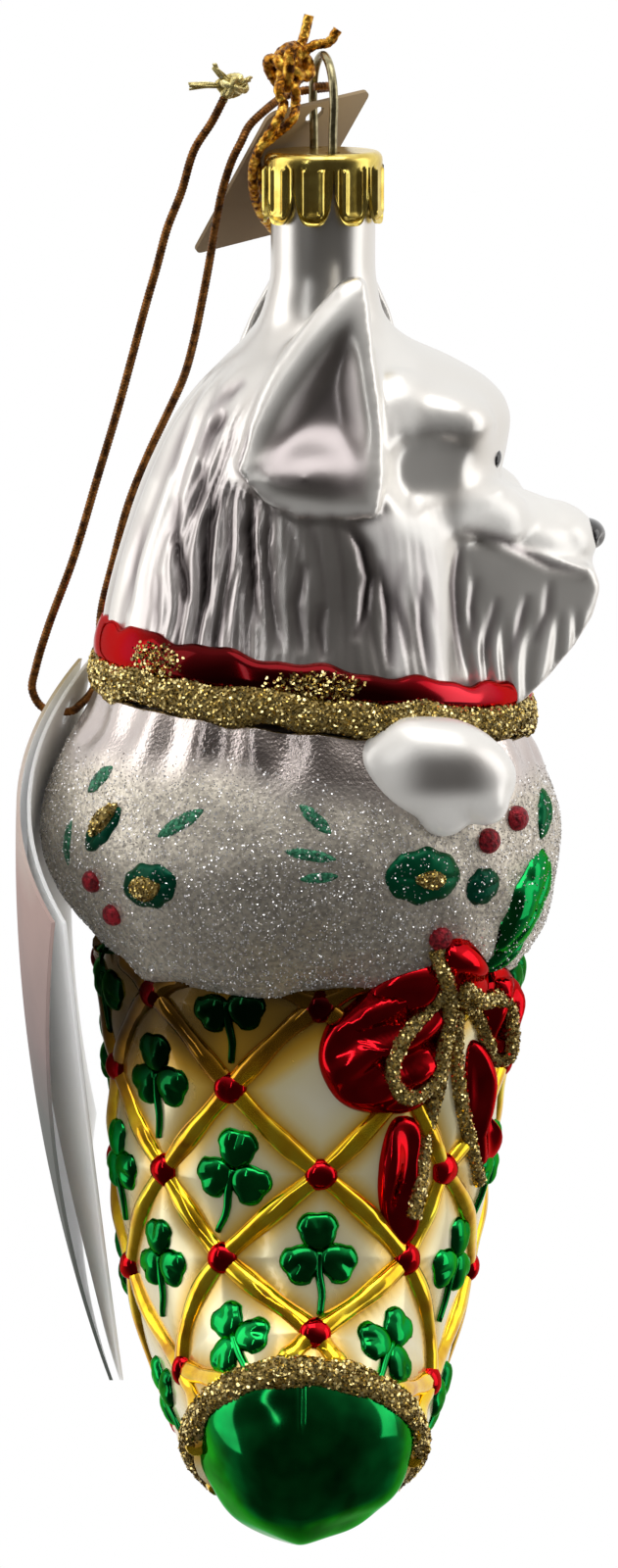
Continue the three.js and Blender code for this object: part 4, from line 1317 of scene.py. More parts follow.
def lit_below_cuff(points):
    """How lit the lacquer is: 1 in the open, and low in painted shadow under the cuff, which reaches further
    down at the heel side than at the bow.
    """
    return 0.1 + 0.9 * eased(-points[:, 2] + 0.3 * (points[:, 0] + 20), 101, 114)


def stocking(material, runs):
    """The ivory glass between the cuff and the toe, a little fuller inside each cell of the lattice."""
    points, normals, _, _ = skin(STOCKING, 0, LAST_PLACE, 190, 400)
    lines = np.vstack([on_stocking(p, t) for p, t in runs if len(p) > 1])
    tree = KDTree(len(lines))
    for i, place in enumerate(lines):
        tree.insert(place, i)
    tree.balance()
    flat = points.reshape(-1, 3)
    away = np.array([tree.find(p)[2] for p in flat])
    away = np.clip(away - 0.5, 0, 4.5) / 4.5
    plump = 0.45 * np.sin(away * math.pi / 2) + 0.1 * ripple(flat, 9, 31)
    moved = flat + normals.reshape(-1, 3) * plump[:, None]
    shell, faces = closed_rings(moved.reshape(points.shape))
    made = mesh_object("stocking", shell, faces, material)
    # How far each point is from a rib, darkened by the painted shadow under the cuff
    store(made, "from_rib_and_cuff_shadow", np.concatenate([(0.22 + 0.78 * away) * lit_below_cuff(flat), [0, 0]]))
    return made


def ribs(material, tree, runs):
    parts = []
    for places, turns in runs:
        if len(places) < 3:
            continue
        line, _ = smooth_path(on_stocking(places, turns), 0.45)
        lift = nearest_normals(tree, line) * (RIB_HEIGHT - RIB_WIDTH / 2)
        wave = 0.12 * np.sin(np.linspace(0, 3 * math.pi, len(line)) + places[0])
        parts.append(tube_mesh(line + lift, (RIB_WIDTH / 2 + wave)[:, None], 12))
    points, faces = joined(parts)
    made = mesh_object("lattice_ribs", points, faces, material)
    # Painted shadow under the cuff
    store(made, "lit", lit_below_cuff(points))
    return made


def nearest_normals(tree, points):
    return np.array([tree.find_nearest(p)[1] for p in points])


def aimed_ball(at, normal, radii, across=20, down=12):
    """A closed ellipsoid whose short way stands out along a normal."""
    normal = unit(normal)
    side = unit(np.cross(normal, (0.1, 0.2, 0.97)))
    up = np.cross(normal, side)
    points, faces = ball((0, 0, 0), (1, 1, 1), across=across, down=down)
    wide, high = radii
    x, y, z = points[:, :1], points[:, 1:2], points[:, 2:]
    return at + wide * (x * side + y * up) + high * z * normal, faces


def beads(material, tree):
    parts = []
    for place, turns in LATTICE[1:-1]:
        for turn in turns:
            at = on_stocking(place, turn)[0]
            normal = nearest_normals(tree, [at])[0]
            points, faces = aimed_ball(at + normal * 0.1, normal, (BEAD_RADIUS, BEAD_HEIGHT))
            points = points + 0.12 * ripple(points, 2.2, 41)[:, None] * unit(points - at)
            parts.append((points, faces))
    points, faces = joined(parts)
    made = mesh_object("lattice_beads", points, faces, material)
    # Painted shadow under the cuff
    store(made, "lit", lit_below_cuff(points))
    return made


def frame_at(tree, at, up):
    """The ways to the right, up and out of the glass at a place."""
    normal = unit(tree.find_nearest(at)[1])
    up = unit(np.asarray(up, dtype=float) - normal * np.dot(up, normal))
    return np.cross(up, normal), up, normal


def relief(tree, at, up, outline, height, rings=6, sink=0.5, crown=2.0, crease=None):
    """A raised form on the glass, with an outline in steps to its right and up, highest inside."""
    at = np.asarray(at, dtype=float)
    right, up, normal = frame_at(tree, at, up)
    outline = np.asarray(outline, dtype=float)
    raised = [(share, False) for share in np.linspace(0, 1, rings + 1)]
    points = []
    for share, sunk in [*raised, (1.0, True)]:
        spots = outline * share if share else outline[:1] * 0
        for a, b in spots:
            base = at + a * right + b * up
            hit, out, _, _ = tree.ray_cast(Vector(base + normal * 7), Vector(-normal), 16)
            if hit is None:
                hit, out, _, _ = tree.find_nearest(base)
            rise = height * max(0, 1 - share**crown) ** 0.5
            if crease is not None:
                rise += crease(a, b) * (1 - share**4)
            points.append(np.array(hit) + np.array(out) * (-sink if sunk else rise))
    count = len(outline)
    faces = [(0, 1 + (i + 1) % count, 1 + i) for i in range(count)]
    faces += grid_faces(rings + 1, count, wrap=True, start=1)
    last = 1 + rings * count
    faces.append(tuple(range(last + count - 1, last - 1, -1)))
    return facing_out(np.array(points), faces)


def lobe(size, aim):
    """One heart-shaped lobe of a clover leaf, with its notch away from the stem."""
    out = []
    for turn in even_turns(26):
        away = min(turn, 2 * math.pi - turn)
        front = math.cos(turn) > 0
        reach = size * (1 - 0.2 * math.exp(-((away / 0.4) ** 2)))
        a = reach * math.cos(turn) * (1.0 if front else 1.12)
        b = reach * math.sin(turn) * (1.06 if front else 0.92)
        out.append((a * math.cos(aim) - b * math.sin(aim), a * math.sin(aim) + b * math.cos(aim)))
    return out


def clover(tree, at, up, scale):
    """Three lobes round a place on the glass, and a stem below them."""
    right, up, _ = frame_at(tree, at, up)
    parts = []
    for aim in (90, 212, 328):
        turn = math.radians(aim)
        c, s = math.cos(turn), math.sin(turn)

        def crease(a, b, c=c, s=s):
            outward = a * c + b * s
            across = -a * s + b * c
            return -0.3 * math.exp(-((across / 0.5) ** 2)) * float(eased(outward, -0.9, 0.9))

        middle = at + scale * CLOVER_REACH * (c * right + s * up)
        outline = lobe(CLOVER_LOBE * scale, turn)
        parts.append(relief(tree, middle, up, outline, 1.0, rings=7, crease=crease))
    stem = [at + scale * (a * right + b * up) for a, b in CLOVER_STEM]
    line, _ = smooth_path(stem, 0.5)
    hits = [tree.find_nearest(p) for p in line]
    line = np.array([hit[0] for hit in hits]) + np.array([hit[1] for hit in hits]) * 0.12
    parts.append(tube_mesh(line, np.linspace(0.55, 0.36, len(line))[:, None], 8))
    return parts


def clovers(material, tree):
    parts = []
    for row in range(1, len(LATTICE) - 1):
        place, turns = LATTICE[row]
        for k in range(BEADS_ROUND):
            if (row, k) in BARE_CELLS:
                continue
            following = turns[(k + 1) % BEADS_ROUND] + (360 if k == BEADS_ROUND - 1 else 0)
            turn = (turns[k] + following) / 2
            at = on_stocking(place - 0.1, turn)[0]
            up = on_stocking(place - 0.6, turn)[0] - at
            lean = 9 * math.sin(3.1 * k + 1.7 * row)
            sideways = np.cross(up, unit(at - STOCKING[3][0]))
            up = unit(up) + math.tan(math.radians(lean)) * unit(sideways)
            parts.extend(clover(tree, at, up, 1.3 + 0.06 * math.sin(5 * k + row)))
    points, faces = joined(parts)
    made = mesh_object("clovers", points, faces, material)
    # Painted shadow under the cuff
    store(made, "lit", lit_below_cuff(points))
    return made


def toe(material):
    """A blunt dome beyond the stocking's last station, with a seam on the near side."""
    rows = 80
    rays = 240
    turns = even_turns(rays)
    last = STOCKING[-1]
    stations = [last]
    reach = np.sin(np.linspace(0, math.pi / 2, rows))
    for share in reach[1:]:
        ring = last.copy()
        ring[1:5] *= max(1 - share**1.6, 1e-4) ** 0.68
        ring[0] += TOE_AXIS * TOE_REACH * share
        stations.append(ring)
    points = rings_of(np.array(stations), turns)
    normals = grid_normals(points)
    from_seam = (turns + 1.5 * math.pi) % (2 * math.pi) - math.pi
    seam = np.exp(-((from_seam / 0.035) ** 2))
    flat = points.reshape(-1, 3)
    dent = (0.5 * ripple(flat, 13, 53) + 0.16 * ripple(flat, 6, 54)).reshape(rows, rays)
    lift = dent - 0.3 * seam[None, :] * (1 - eased(reach, 0.5, 0.8))[:, None]
    fade = (1 - 0.9 * reach**6)[:, None, None]
    shell, faces = closed_rings(points + normals * lift[:, :, None] * fade)
    return mesh_object("toe", shell, faces, material)


# Relief painted on the cuff and the bow, placed where the camera sees it

PICTURE_FOCUS = 5700.0
PICTURE_MIDDLE = (315.5, 800.0)
UPRIGHT = (0, 0, 1)


def seen(tree, across, down):
    """The place on the glass that the camera sees at a place of a picture 631 wide and 1600 high."""
    view = Vector((0, math.cos(CAMERA_DROP), -math.sin(CAMERA_DROP)))
    up = Vector((0, math.sin(CAMERA_DROP), math.cos(CAMERA_DROP)))
    eye = Vector(CAMERA_TARGET) - view * CAMERA_DISTANCE
    aside = Vector((1, 0, 0)) * (across - PICTURE_MIDDLE[0]) / PICTURE_FOCUS
    ray = (view + aside - up * (down - PICTURE_MIDDLE[1]) / PICTURE_FOCUS).normalized()
    hit, _, _, _ = tree.ray_cast(eye, ray)
    if hit is None:
        hit, _, _, _ = tree.find_nearest(eye + ray * CAMERA_DISTANCE)
    return np.array(hit)


def tree_of(*pieces):
    """A search tree in millimetres over one or more pieces."""
    points = []
    faces = []
    start = 0
    for piece in pieces:
        points.extend(v.co / MM for v in piece.data.vertices)
        faces.extend([i + start for i in p.vertices] for p in piece.data.polygons)
        start = len(points)
    return BVHTree.FromPolygons(points, faces)


def leaf_outline(length, width, pricks=4, bite=0.11):
    """A holly leaf lying along its right axis, with pricks along both edges."""
    out = []
    for turn in even_turns(72):
        a = math.cos(turn)
        b = math.sin(turn)
        edge = 1 - bite * (0.5 - 0.5 * math.cos(pricks * math.acos(max(-1, min(1, a))) * 2))
        out.append((a * length / 2 * (1 - 0.1 * abs(b)), b * width / 2 * edge))
    return out


# Raised holly leaves: (across, down) in the picture, length, width, lean in degrees, height, how frosted
HOLLY = (
    ((151, 905), 7.6, 5.2, 24, 0.7, 1.0),
    ((433, 895), 9.2, 6.4, -8, 0.9, 0.9),
    ((537, 922), 12.6, 7.6, 66, 1.5, 0.0),
    ((513, 975), 7.0, 4.0, 38, 0.9, 0.1),
    ((493, 905), 4.6, 4.2, 20, 0.9, 1.0),
    ((103, 846), 7.2, 3.2, 52, 0.6, 1.0),
    ((556, 830), 6.4, 3.4, 80, 0.7, 0.8),
)
# Brushed strokes of green on the frost: (across, down) in the picture, length, width, lean
STROKES = (
    ((184, 840), 6.0, 1.7, 34),
    ((322, 836), 4.4, 1.5, -42),
    ((317, 873), 5.4, 1.3, -10),
    ((326, 896), 4.0, 1.2, 3),
    ((101, 795), 4.6, 2.0, 48),
    ((68, 860), 5.4, 1.8, 84),
)
# Berries: (across, down) in the picture, radius
BERRIES = (((527, 835), 1.35), ((498, 858), 1.35), ((449, 957), 1.3), ((95, 899), 1.2), ((116, 933), 1.2))
# Gold glitter glued along the middle of leaves, in the same terms as the strokes
GOLD_HEARTS = (((148, 907), 4.2, 2.4, 24), ((440, 898), 3.6, 1.9, -8), ((104, 838), 5.0, 1.5, 52))


def mirrored(points, faces):
    """The same form on the far side of the glass."""
    return points * np.array([1, -1, 1]), [tuple(reversed(f)) for f in faces]


def with_far_side(parts):
    return [*parts, *[mirrored(p, f) for p, f in parts]]


def lean_up(degrees):
    """The upward side of a form whose length leans this far from level, seen from the near side."""
    return (-math.sin(math.radians(degrees)), 0.0, math.cos(math.radians(degrees)))


def leaf_vein(a, b):
    return -0.3 * math.exp(-((b / 0.35) ** 2))


def holly_leaves(material, tree):
    parts = []
    dull = []
    for (across, down), length, width, lean, height, frosted in HOLLY:
        outline = leaf_outline(length, width)
        at = seen(tree, across, down)
        parts.append(relief(tree, at, lean_up(lean), outline, height, rings=7, crease=leaf_vein))
        dull.append(np.full(len(parts[-1][0]), frosted))
    made = mesh_object("holly_leaves", *joined(with_far_side(parts)), material)
    store(made, "dull", np.concatenate([*dull, *dull]))
    return made


def patches(name, rows, material, tree, pricks, bite, height, sink):
    """Small leaf shapes laid on the glass, on both of its sides."""
    parts = []
    for (across, down), length, width, lean in rows:
        outline = leaf_outline(length, width, pricks, bite)
        at = seen(tree, across, down)
        parts.append(relief(tree, at, lean_up(lean), outline, height, rings=4, sink=sink))
    return mesh_object(name, *joined(with_far_side(parts)), material)


def strokes(material, tree):
    return patches("green_strokes", STROKES, material, tree, pricks=3, bite=0.12, height=0.16, sink=0.3)


def gold_hearts(material, tree):
    return patches("leaf_glitter", GOLD_HEARTS, material, tree, pricks=2, bite=0.1, height=0.9, sink=0.4)


def berries(material, tree):
    parts = []
    for (across, down), size in BERRIES:
        at = seen(tree, across, down)
        normal = nearest_normals(tree, [at])[0]
        parts.append(aimed_ball(at + normal * 0.15, normal, (size, size * 0.85)))
    return mesh_object("berries", *joined(with_far_side(parts)), material)


# The bow's folds as (across, down) in the picture
BOW_LEFT_LOOP = (
    (448, 985), (425, 990), (396, 1000), (362, 1020), (334, 1045), (325, 1078), (334, 1108), (352, 1128),
    (392, 1137), (425, 1130), (446, 1100), (455, 1050), (458, 1010),
)
BOW_RIGHT_LOOP = (
    (500, 985), (516, 992), (528, 1016), (531, 1050), (524, 1078), (508, 1085), (494, 1060), (489, 1020),
    (492, 995),
)
BOW_MIDDLE = (
    (452, 962), (474, 958), (490, 972), (492, 1000), (480, 1024), (460, 1028), (447, 1010), (445, 980),
)
BOW_LEFT_TAIL = (
    (404, 1140), (424, 1143), (423, 1180), (421, 1220), (419, 1262), (408, 1273), (396, 1256), (386, 1222),
    (388, 1180),
)
BOW_RIGHT_TAIL = (
    (480, 1062), (492, 1066), (502, 1100), (508, 1140), (500, 1175), (490, 1192), (480, 1170), (474, 1120),
)
# Each fold with its height and the way that its creases run, in radians
BOW = (
    (BOW_LEFT_LOOP, 2.6, 0.5),
    (BOW_RIGHT_LOOP, 2.0, 1.3),
    (BOW_MIDDLE, 2.6, 0.0),
    (BOW_LEFT_TAIL, 1.5, 1.5),
    (BOW_RIGHT_TAIL, 1.5, 1.7),
)
BOW_CORD_RADIUS = 0.76
# The glitter cord tied over the bow, in runs of (across, down) in the picture
BOW_CORD = (
    (
        (452, 1010), (437, 1030), (420, 1050), (404, 1075), (400, 1098), (408, 1115), (425, 1118),
        (440, 1103), (450, 1078), (455, 1045), (458, 1016),
    ),
    (
        (472, 1008), (490, 1020), (508, 1018), (520, 1034), (522, 1058), (516, 1078), (502, 1076),
        (494, 1056), (482, 1032), (472, 1012),
    ),
    (
        (458, 1030), (452, 1070), (446, 1105), (438, 1140), (430, 1180), (426, 1215), (422, 1242),
    ),
    (
        (466, 1030), (464, 1070), (466, 1105), (472, 1140), (480, 1175), (487, 1205),
    ),
    (
        (446, 968), (452, 985), (458, 1004), (464, 1022),
    ),
)


def patch_outline(tree, outline):
    """A picture outline as a middle on the glass and steps right and up from it."""
    at = seen(tree, *np.mean(outline, axis=0))
    right, up, _ = frame_at(tree, at, UPRIGHT)
    spots = np.array([seen(tree, *place) for place in outline]) - at
    flat = np.stack([spots @ right, spots @ up, np.zeros(len(spots))], axis=1)
    dense, _ = smooth_path(np.vstack([flat[-1:], flat, flat[:2]]), 0.4)
    third = len(dense) // 3
    from_first = np.linalg.norm(dense - flat[0], axis=1)
    start = np.argmin(from_first[:third])
    stop = len(dense) - 1 - np.argmin(from_first[::-1][:third])
    return at, dense[start:stop, :2]


def bow(material, tree):
    parts = []
    for number, (outline, height, angle) in enumerate(BOW):

        def fold(a, b, angle=angle, number=number):
            across = -a * math.sin(angle) + b * math.cos(angle)
            along = a * math.cos(angle) + b * math.sin(angle)
            return 0.55 * math.cos(across * 1.5 + 0.6 * math.sin(along * 0.5) + number)

        at, flat = patch_outline(tree, outline)
        parts.append(relief(tree, at, UPRIGHT, flat, height, rings=16, crown=3.0, crease=fold))
    return mesh_object("bow", *joined(parts), material)


def bow_cord(material, tree):
    parts = []
    for places in BOW_CORD:
        line, _ = smooth_path([seen(tree, *place) for place in places], 0.3)
        points, faces = tube_mesh(line + nearest_normals(tree, line) * 0.25, BOW_CORD_RADIUS, 14)
        points = points + 0.07 * ripple(points, 1.0, 61)[:, None] * np.array([1, -1, 1])
        parts.append((points, faces))
    return mesh_object("bow_cord", *joined(parts), material)


# Glitter

# How far a flake may tilt in radians, and how high it sits as a share of its size
FLAKE_TILT = 0.9
FLAKE_LIFT = 0.35


def flake_tree():
    """Scatters small six-sided flakes over a surface, each tilted its own way and with its own shade."""
    tree = bpy.data.node_groups.new("flakes", "GeometryNodeTree")
    for name, kind in (
        ("Geometry", "Geometry"),
        ("Flakes per square metre", "Float"),
        ("Flake size", "Float"),
        ("Tilt", "Float"),
        ("Seed", "Int"),
        ("Material", "Material"),
    ):
        tree.interface.new_socket(name, in_out="INPUT", socket_type="NodeSocket" + kind)
    tree.interface.new_socket("Geometry", in_out="OUTPUT", socket_type="NodeSocketGeometry")
    given = add(tree, "NodeGroupInput").outputs
    cover = add(tree, "GeometryNodeInputNamedAttribute", {"Name": "frost"}, data_type="FLOAT").outputs[0]
    factors = {0: cover, 1: given["Flakes per square metre"]}
    amount = node(tree, "Math", factors, operation="MULTIPLY").outputs[0]
    ground = {"Mesh": given["Geometry"], "Density": amount, "Seed": given["Seed"]}
    scatter = add(tree, "GeometryNodeDistributePointsOnFaces", ground).outputs
    shade = add(tree, "FunctionNodeRandomValue", data_type="FLOAT").outputs[1]
    kept = {"Geometry": scatter["Points"], "Name": "shade", "Value": shade}
    spots = add(tree, "GeometryNodeStoreNamedAttribute", kept, data_type="FLOAT", domain="POINT")
    round_of_six = {"Vertices": 6, "Radius": given["Flake size"]}
    disc = add(tree, "GeometryNodeMeshCircle", round_of_six, fill_type="NGON").outputs["Mesh"]
    most = node(tree, "VectorMath", {0: (1, 1, 0), "Scale": given["Tilt"]}, operation="SCALE").outputs[0]
    least = node(tree, "VectorMath", {0: most, "Scale": -1}, operation="SCALE").outputs[0]
    limits = {"Min": least, "Max": most}
    tilt = add(tree, "FunctionNodeRandomValue", limits, data_type="FLOAT_VECTOR").outputs[0]
    turned = {"Rotation": scatter["Rotation"], "Rotate By": tilt}
    turn = add(tree, "FunctionNodeRotateRotation", turned, rotation_space="LOCAL").outputs[0]
    size = add(tree, "FunctionNodeRandomValue", {2: 0.55, 3: 1.15}, data_type="FLOAT").outputs[1]
    set_down = {"Points": spots.outputs["Geometry"], "Instance": disc, "Rotation": turn, "Scale": size}
    copies = add(tree, "GeometryNodeInstanceOnPoints", set_down).outputs["Instances"]
    real = add(tree, "GeometryNodeRealizeInstances", {0: copies}).outputs[0]
    coat = add(tree, "GeometryNodeSetMaterial", {"Geometry": real, "Material": given["Material"]})
    add(tree, "NodeGroupOutput", {0: coat.outputs[0]})
    return tree


def flakes(tree, name, ground, material, per_square_mm, size, seed):
    """Glitter over a piece, as a mesh of its own. size is a flake's radius."""
    holder = ground.copy()
    holder.data = ground.data.copy()
    bpy.context.scene.collection.objects.link(holder)
    if "frost" not in holder.data.attributes:
        store(holder, "frost", np.ones(len(holder.data.vertices)))
    move_to(holder.data, places_of(holder.data) + normals_of(holder.data) * size * FLAKE_LIFT * MM)
    modifier = holder.modifiers.new("flakes", "NODES")
    modifier.node_group = tree
    values = {
        "Flakes per square metre": per_square_mm / MM**2,
        "Flake size": size * MM,
        "Tilt": FLAKE_TILT,
        "Seed": seed,
        "Material": material,
    }
    for item in tree.interface.items_tree:
        if item.name in values and item.in_out == "INPUT":
            modifier[item.identifier] = values[item.name]
    mesh = applied(holder)
    bpy.data.objects.remove(holder)
    mesh.name = name
    return placed(name, mesh)


# The cap and the wire

PETAL_STEPS = 28


def cap_profile(across):
    """Rings down the outside of the cap, as (radius, depth).

    across is 0 in the middle of a petal and 1 at its edges, for each turn round the cap.
    """
    radius = CAP_DIAMETER / 2
    half = math.pi * radius / PETALS
    top = LOOP_HEIGHT + CAP_SHOULDER
    shortest = CAP_SHOULDER + 0.6
    edge = LOOP_HEIGHT + shortest + (CAP_SKIRT - shortest) * np.sqrt(np.clip(1 - across**3.2, 0, 1))
    rings = []
    for share in np.linspace(0.06, 1, 10):
        rings.append(((radius - CAP_SHOULDER) * share, LOOP_HEIGHT - 0.1 * (1 - share)))
    for turn in np.linspace(0.2, 1, 6) * math.pi / 2:
        out = radius - CAP_SHOULDER + CAP_SHOULDER * math.sin(turn)
        rings.append((out, LOOP_HEIGHT + CAP_SHOULDER * (1 - math.cos(turn))))
    for share in np.linspace(0, 1, 30)[1:]:
        fall = top + (edge - top) * share
        inside = np.minimum(half - across * half - 0.25, edge - fall)
        emboss = 0.26 * np.exp(-(((inside - 1.0) / 0.26) ** 2)) * (fall > top + 0.8)
        hollow = -0.2 * np.exp(-(((inside - 0.5) / 0.2) ** 2)) * (fall > top + 0.6)
        curl = 0.12 * eased(share, 0.9, 1.0)
        rings.append((radius + emboss + hollow + curl, fall))
    return rings


def cap(material):
    """The crown cap, drawn from one sheet: down its outside and back up its inside."""
    turns = even_turns(PETALS * PETAL_STEPS)
    across = np.abs((np.arange(len(turns)) % PETAL_STEPS) / PETAL_STEPS * 2 - 1)
    outside = cap_profile(across)
    inside = []
    for r, depth in outside[::-1]:
        flat = depth < LOOP_HEIGHT + CAP_SHOULDER - 0.02
        slim = np.where(flat, np.maximum(r - CAP_SHEET * 0.6, 0.2), r - CAP_SHEET)
        inside.append((slim, np.where(flat, depth + CAP_SHEET, depth)))
    rings = []
    for r, depth in outside + inside:
        level = np.broadcast_to(-depth, turns.shape)
        rings.append(np.stack([r * np.cos(turns), r * np.sin(turns), level], axis=1))
    return mesh_object("crown_cap", *closed_rings(np.array(rings)), material)


def on_loop(side, z):
    """A place in the wire loop's own plane, which is turned about the upright."""
    return (-side * math.sin(LOOP_TURN), side * math.cos(LOOP_TURN), z)


def wire(material):
    top = -LOOP_HEIGHT
    half = [
        (SPRING_REACH - 0.5, top - SPRING_LENGTH),
        (SPRING_REACH, top - SPRING_LENGTH + 2.5),
        (SPRING_REACH, top - 5),
        (SPRING_REACH, top),
        (SPRING_REACH + 0.15, top + 3),
        (LOOP_HALF_WIDTH, -4.2),
        (LOOP_HALF_WIDTH - 0.5, -2.0),
        (LOOP_HALF_WIDTH - 2.0, -0.3),
    ]
    outline = [*half, (0, WIRE_DIAMETER / 2), *[(-s, z) for s, z in reversed(half)]]
    line, _ = smooth_path([on_loop(s, z) for s, z in outline], 0.3)
    return mesh_object("hanging_wire", *tube_mesh(line, WIRE_DIAMETER / 2, 16), material)


# Cords

BRAID_ROUTE = (
    (-4.1, -1.7, -4.4), (-4.5, -3.1, -5.6), (-5.7, -3.2, -7.6), (-6.9, -2.1, -9.6), (-7.4, -0.1, -11.6),
    (-7.3, 2.2, -14.2), (-6.6, 5.2, -16.6), (-5.4, 9.0, -18.6), (-4.6, 12.6, -20.8), (-4.2, 15.4, -24.2),
    (-4.0, 17.0, -28.0), (-3.6, 18.2, -32.0), (-2.6, 19.0, -36.0), (-0.9, 19.6, -38.6), (1.2, 19.5, -38.2),
    (2.6, 18.8, -35.0), (2.6, 17.9, -31.0), (2.0, 16.6, -27.0), (0.8, 15.2, -23.4), (-1.2, 13.8, -20.2),
    (-3.2, 11.0, -17.6), (-5.0, 6.8, -15.8), (-6.3, 3.9, -13.9), (-6.9, 1.8, -11.8), (-7.1, 0.6, -10.6),
    (-6.7, -0.5, -9.3), (-5.3, -1.2, -8.0), (-3.2, -2.6, -6.0), (-2.9, -1.1, -4.6),
)
ELASTIC_ROUTE = (
    (-10.4, 1.5, -4.1), (-11.7, 1.5, -6.6), (-13.6, 1.5, -9.6), (-15.0, 1.8, -14.1), (-16.5, 2.0, -17.9),
    (-17.6, 2.3, -21.9), (-18.8, 2.5, -26.0), (-20.4, 3.0, -31.9), (-21.9, 3.0, -37.3), (-24.2, 3.5, -44.9),
    (-26.8, 4.0, -53.5), (-29.6, 4.5, -61.0), (-31.0, 4.9, -65.6), (-31.4, 5.2, -68.0), (-30.4, 5.4, -69.9),
    (-28.6, 5.5, -70.4), (-27.1, 5.7, -70.4), (-26.3, 6.7, -69.9), (-25.2, 8.0, -68.9), (-24.5, 9.2, -67.6),
    (-24.3, 10.7, -65.4), (-24.2, 12.4, -60.8), (-22.8, 13.0, -55.0), (-21.2, 12.6, -49.0),
    (-19.0, 11.6, -43.4), (-16.8, 9.6, -38.6), (-14.9, 7.4, -34.2), (-13.8, 5.5, -30.2),
    (-12.9, 4.5, -25.9), (-12.1, 3.3, -21.7), (-11.4, 2.3, -17.6), (-10.6, 1.3, -13.7), (-9.6, 0.9, -10.6),
    (-8.7, 1.0, -8.8), (-7.8, 1.9, -7.1), (-6.2, 2.9, -5.6), (-4.4, 5.0, -4.4), (-2.6, 6.2, -3.8),
    (-0.6, 6.1, -3.5), (0.9, 4.6, -3.2), (0.5, 2.9, -3.0), (-0.9, 2.2, -3.0),
)


def plaited(line, diameter, sides, pitch):
    """A tube whose skin shows strands crossing both ways."""
    turns = even_turns(sides)
    wind = 2 * math.pi * lengths_along(line)[:, None] / pitch
    one = np.cos(3 * turns[None] + 3 * wind)
    other = np.cos(3 * turns[None] - 3 * wind)
    return tube_mesh(line, diameter / 2 * (0.86 + 0.14 * np.maximum(one, other)), sides)


def ribbed(line, diameter, sides, pitch):
    """A tube wrapped closely with a fine thread."""
    wrap = np.cos(2 * math.pi * lengths_along(line)[:, None] / pitch - even_turns(sides)[None])
    return tube_mesh(line, diameter / 2 * (0.94 + 0.06 * wrap), sides)


def braid(material):
    line, length = smooth_path(BRAID_ROUTE, 0.12)
    return mesh_object("braid", *plaited(line, BRAID_DIAMETER, 18, BRAID_PITCH), material), line, length


def elastic(material):
    line, length = smooth_path(ELASTIC_ROUTE, 0.09)
    return mesh_object("elastic", *ribbed(line, ELASTIC_DIAMETER, 12, 0.36), material), line, length


def knot_turns(at, reach, thickness, turn, count=110):
    """A closed trefoil of cord, drawn up tight."""
    t = np.linspace(0, 2 * math.pi, count)
    x = (np.sin(t) + 2 * np.sin(2 * t)) / 3
    y = (np.cos(t) - 2 * np.cos(2 * t)) / 3
    z = -1.9 * np.sin(3 * t) / 3
    c, s = math.cos(turn), math.sin(turn)
    shape = np.stack([x * c - z * s, y, x * s + z * c], axis=1)
    return np.asarray(at) + shape * (np.asarray(reach) - thickness)


def braid_knot(material):
    at = np.array([-3.6, 0.4, -0.9])
    parts = []
    for turn, grow in ((0.4, 1.0), (1.7, 0.84), (2.7, 0.66)):
        line = knot_turns(at, np.array([2.75, 2.5, 3.4]) * grow, 0.62, turn)
        parts.append(plaited(line, 1.35, 16, 2.4))
    runs = (
        ((-4.0, -1.0, -2.0), (-4.7, -2.2, -3.0), (-4.3, -2.2, -4.2)),
        ((-3.2, -0.6, -2.2), (-2.9, -1.8, -3.2), (-2.9, -1.4, -4.4)),
        ((-3.2, 0.6, 0.2), (-2.2, 1.6, 1.8), (-1.5, 1.8, 4.5)),
        ((-2.6, 0.4, 0.2), (-1.0, 0.6, 1.4), (0.6, 0.0, 1.8), (1.5, 0.0, 3.1)),
    )
    for run in runs:
        line, _ = smooth_path(run, 0.12)
        parts.append(plaited(line, BRAID_DIAMETER, 16, BRAID_PITCH))
    return mesh_object("braid_knot_turns", *joined(parts), material)


def elastic_knot(material):
    draw = random.Random(11)
    at = np.array([-9.6, 1.5, -2.9])
    parts = []
    for turn in (0.3, 1.6):
        line = knot_turns(at, np.array([1.8, 1.3, 1.45]), 0.36, turn, 90)
        parts.append(ribbed(line, 0.8, 12, 0.34))
    ends = (
        ((-10.2, 1.4, -2.9), (-11.6, 1.2, -2.7), (-13.9, 1.0, -2.9)),
        ((-9.8, 1.4, -2.4), (-10.6, 1.2, -1.8), (-11.4, 1.0, -0.8)),
        ((-9.2, 1.5, -2.8), (-8.5, 1.5, -2.6), (-7.8, 1.4, -2.1)),
        ((-9.8, 1.5, -3.2), (-10.2, 1.5, -3.8), (-10.5, 1.5, -4.3)),
    )
    for end in ends:
        for _ in range(7):
            loose = [[v + draw.uniform(-0.32, 0.32) for v in place] for place in end]
            line, _ = smooth_path(loose, 0.2)
            parts.append(tube_mesh(line, 0.13, 6))
    return mesh_object("elastic_knot_turns", *joined(parts), material)


# The booklet


def leaf_frame():
    """The ways across and down a leaf, which hangs from one corner with its diagonal plumb."""
    diagonal = math.hypot(LEAF_WIDTH, LEAF_LENGTH)
    across = np.array([0, -LEAF_LENGTH / diagonal, -LEAF_WIDTH / diagonal])
    down = np.array([0, LEAF_WIDTH / diagonal, -LEAF_LENGTH / diagonal])
    return across, down


def bend(p, row):
    """A smooth curve through three values, at 0, half way and 1."""
    start, middle, end = row
    return start * (1 - p) * (1 - 2 * p) + 4 * middle * p * (1 - p) + end * p * (2 * p - 1)


